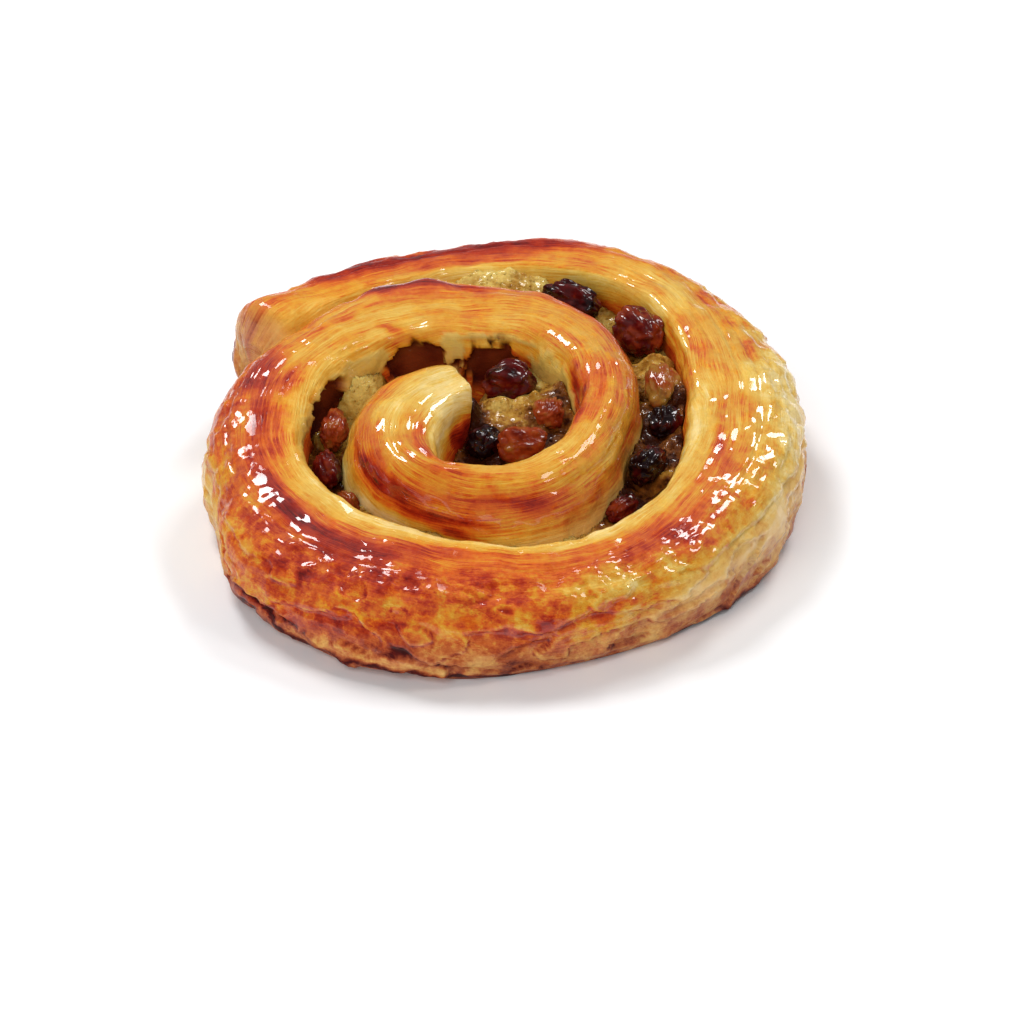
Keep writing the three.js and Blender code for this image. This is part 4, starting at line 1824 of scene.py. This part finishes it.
@dataclass(frozen=True)
class CustardFinish:
    """Baked custard: translucent, olive to honey, grainy and wet, brown where syrup has run in and darker
    with painted shade in the deep gaps and next to the tip.

    Each scale is a noise's lumps per metre.
    """

    pale: Rgb = srgb(214, 184, 100)
    olive: Rgb = srgb(170, 124, 46)
    honey: Rgb = srgb(118, 66, 20)
    # The darkest tone, which the painted shade in the gaps also reaches.
    syrup: Rgb = srgb(52, 18, 5)
    broad_scale: float = 190.0
    fine_scale: float = 900.0

    def material(self, groups: Groups) -> Material:
        """Builds the material.

        Args:
            groups: The shared shader node groups.

        Returns:
            The material.
        """
        made, graph = new_material("baked_custard")
        place = graph.position()
        broad = graph.noise(place, self.broad_scale, 3.0, 0.6)
        fine = graph.noise(place, self.fine_scale, 3.0, 0.6)
        tone = graph.math("ADD", graph.math("MULTIPLY", broad, 1.1), graph.math("MULTIPLY", fine, 0.4))
        syrup_and_painted_shade = graph.math("MULTIPLY_ADD", graph.attribute("syrup"), 0.45, 0.08)
        tone = graph.math("SUBTRACT", tone, syrup_and_painted_shade, clamp=True)
        colour = graph.ramp(tone, (
            (0.18, self.syrup), (0.36, self.honey), (0.52, self.olive), (0.76, self.pale),
        ))
        crinkle = place_group(graph, groups.crinkle, Place=place, Size=1.5, Fine=0.8)
        beads = place_group(graph, groups.beads, Place=place, Size=0.9, Share=0.5).outputs["Height"]
        grains = graph.math("ADD", crinkle.outputs["Height"], beads)
        principled(
            graph, Base_Color=colour, Roughness=graph.math("MULTIPLY_ADD", beads, -0.16, 0.42),
            IOR=1.4, Specular_IOR_Level=0.08,
            Coat_Weight=graph.spread(fine, 0.53, 0.57, 0.02, 0.8), Coat_Roughness=0.03,
            Subsurface_Weight=0.25, Subsurface_Radius=(1.0, 0.7, 0.3), Subsurface_Scale=0.002,
            Normal=bump(graph, grains, 0.35),
        )
        return made


@dataclass(frozen=True)
class RaisinFinish:
    """Wrinkled wet raisin skin, from near black through maroon to syrup brown.

    Each scale is a noise's lumps per metre.
    """

    black: Rgb = srgb(22, 4, 6)
    maroon: Rgb = srgb(84, 10, 8)
    syrup: Rgb = srgb(140, 52, 18)
    coated: Rgb = srgb(146, 104, 40)
    tone_scale: float = 260.0
    wet_scale: float = 480.0

    def material(self, groups: Groups) -> Material:
        """Builds the material.

        Args:
            groups: The shared shader node groups.

        Returns:
            The material.
        """
        made, graph = new_material("raisin_skin")
        place = graph.position()
        broad = graph.noise(place, self.tone_scale, 3.0, 0.6)
        change = graph.math("MULTIPLY_ADD", broad, 1.3, -0.65)
        tone = graph.math("ADD", change, graph.attribute("ripeness"), clamp=True)
        colour = graph.ramp(tone, (
            (0.0, self.black), (0.32, self.maroon), (0.62, self.syrup), (0.92, self.coated),
        ))
        crinkle = place_group(graph, groups.crinkle, Place=place, Size=2.2, Fine=0.2)
        wet = graph.spread(graph.noise(place, self.wet_scale, 3.0, 0.6), 0.44, 0.54, 0.08, 0.9)
        principled(
            graph, Base_Color=colour, Roughness=0.45, IOR=1.4, Specular_IOR_Level=0.05,
            Coat_Weight=wet, Coat_Roughness=0.03,
            Subsurface_Weight=0.05, Subsurface_Radius=(1.0, 0.2, 0.1), Subsurface_Scale=0.002,
            Normal=bump(graph, crinkle.outputs["Height"], 0.25),
        )
        return made


@dataclass(frozen=True)
class FloorFinish:
    """A plain pale table top."""

    colour: Rgb = srgb(246, 246, 247)

    def material(self) -> Material:
        """Builds the material.

        Returns:
            The material.
        """
        made, graph = new_material("pale_floor")
        principled(graph, Base_Color=(*self.colour, 1.0), Roughness=0.6)
        return made


# ------------------------------------------------------------------ the studio


@dataclass(frozen=True)
class Softbox:
    """A square light: where it stands, its side, its power and whether gloss shows it."""

    name: str
    at: tuple[float, float, float]
    side: float
    watts: float
    glints: bool = True
    aimed_at: tuple[float, float, float] = (0.0, 0.0, 0.01)

    def build(self) -> None:
        """Hangs the light, aimed at the pastry."""
        lamp = bpy.data.lights.new(self.name, "AREA")
        lamp.shape = "SQUARE"
        lamp.size = self.side
        lamp.energy = self.watts
        holder = bpy.data.objects.new(self.name, lamp)
        holder.location = self.at
        holder.visible_glossy = self.glints
        beam = Vector(self.aimed_at) - Vector(self.at)
        holder.rotation_euler = beam.to_track_quat("-Z", "Y").to_euler()
        bpy.context.scene.collection.objects.link(holder)


@dataclass
class Studio:
    """The floor, the lights and the camera. Lengths are in metres."""

    floor_side: float = 4.0
    sky_strength: float = 0.20
    softboxes: tuple[Softbox, ...] = (
        Softbox("key_back_left", (-0.35, 0.50, 0.79), 0.30, 5.1),
        Softbox("key_back_right", (0.37, 0.57, 0.73), 0.28, 3.4),
        Softbox("glint_right", (0.58, -0.05, 0.81), 0.20, 1.4),
        Softbox("fill_front", (-0.35, -0.8, 0.6), 0.8, 6.6, glints=False),
    )
    camera_at: tuple[float, float, float] = (0.001415, -0.914050, 0.578990)
    camera_pitch: float = 57.5
    sensor: float = 36.0
    lens_to_sensor: float = 5900 / 1024

    def build(self) -> None:
        """Makes the floor, the sky, the lights and the camera."""
        half = self.floor_side / 2
        mesh = bpy.data.meshes.new("floor")
        corners = [(-half, -half, 0), (half, -half, 0), (half, half, 0), (-half, half, 0)]
        mesh.from_pydata(corners, [], [(0, 1, 2, 3)])
        mesh.materials.append(FloorFinish().material())
        floor = bpy.data.objects.new("floor", mesh)
        bpy.context.scene.collection.objects.link(floor)
        world = bpy.data.worlds.new("soft_sky")
        world.use_nodes = True
        sky = world.node_tree.nodes["Background"]
        sky.inputs["Strength"].default_value = self.sky_strength
        sky.inputs["Color"].default_value = (1, 1, 1, 1)
        bpy.context.scene.world = world
        bpy.context.scene.view_settings.view_transform = "Standard"
        for softbox in self.softboxes:
            softbox.build()
        self.aim_camera()

    def aim_camera(self) -> None:
        """Sets the camera that the pastry is seen through."""
        lens = bpy.data.cameras.new("camera")
        lens.sensor_width = self.sensor
        lens.lens = self.sensor * self.lens_to_sensor
        camera = bpy.data.objects.new("camera", lens)
        camera.location = self.camera_at
        camera.rotation_euler = (math.radians(self.camera_pitch), 0, 0)
        bpy.context.scene.collection.objects.link(camera)
        bpy.context.scene.camera = camera


# ------------------------------------------------------------------ making


def main() -> None:
    """Builds the pastry and the studio."""
    logging.basicConfig(level=logging.INFO)
    groups = Groups(strand_group(), crinkle_group(), plate_group(), bead_group())
    dough = Dough().build(DoughFinish().material(groups))
    log.info("dough: %d faces", len(dough.data.polygons))
    custard = Custard().build(dough, CustardFinish().material(groups))
    log.info("custard: %d faces", len(custard.data.polygons))
    skin = RaisinFinish().material(groups)
    for order, raisin in enumerate(RAISINS):
        piece = raisin.build(order, skin)
        log.info("%s: %d faces", piece.name, len(piece.data.polygons))
    Studio().build()


if __name__ == "__main__":
    main()
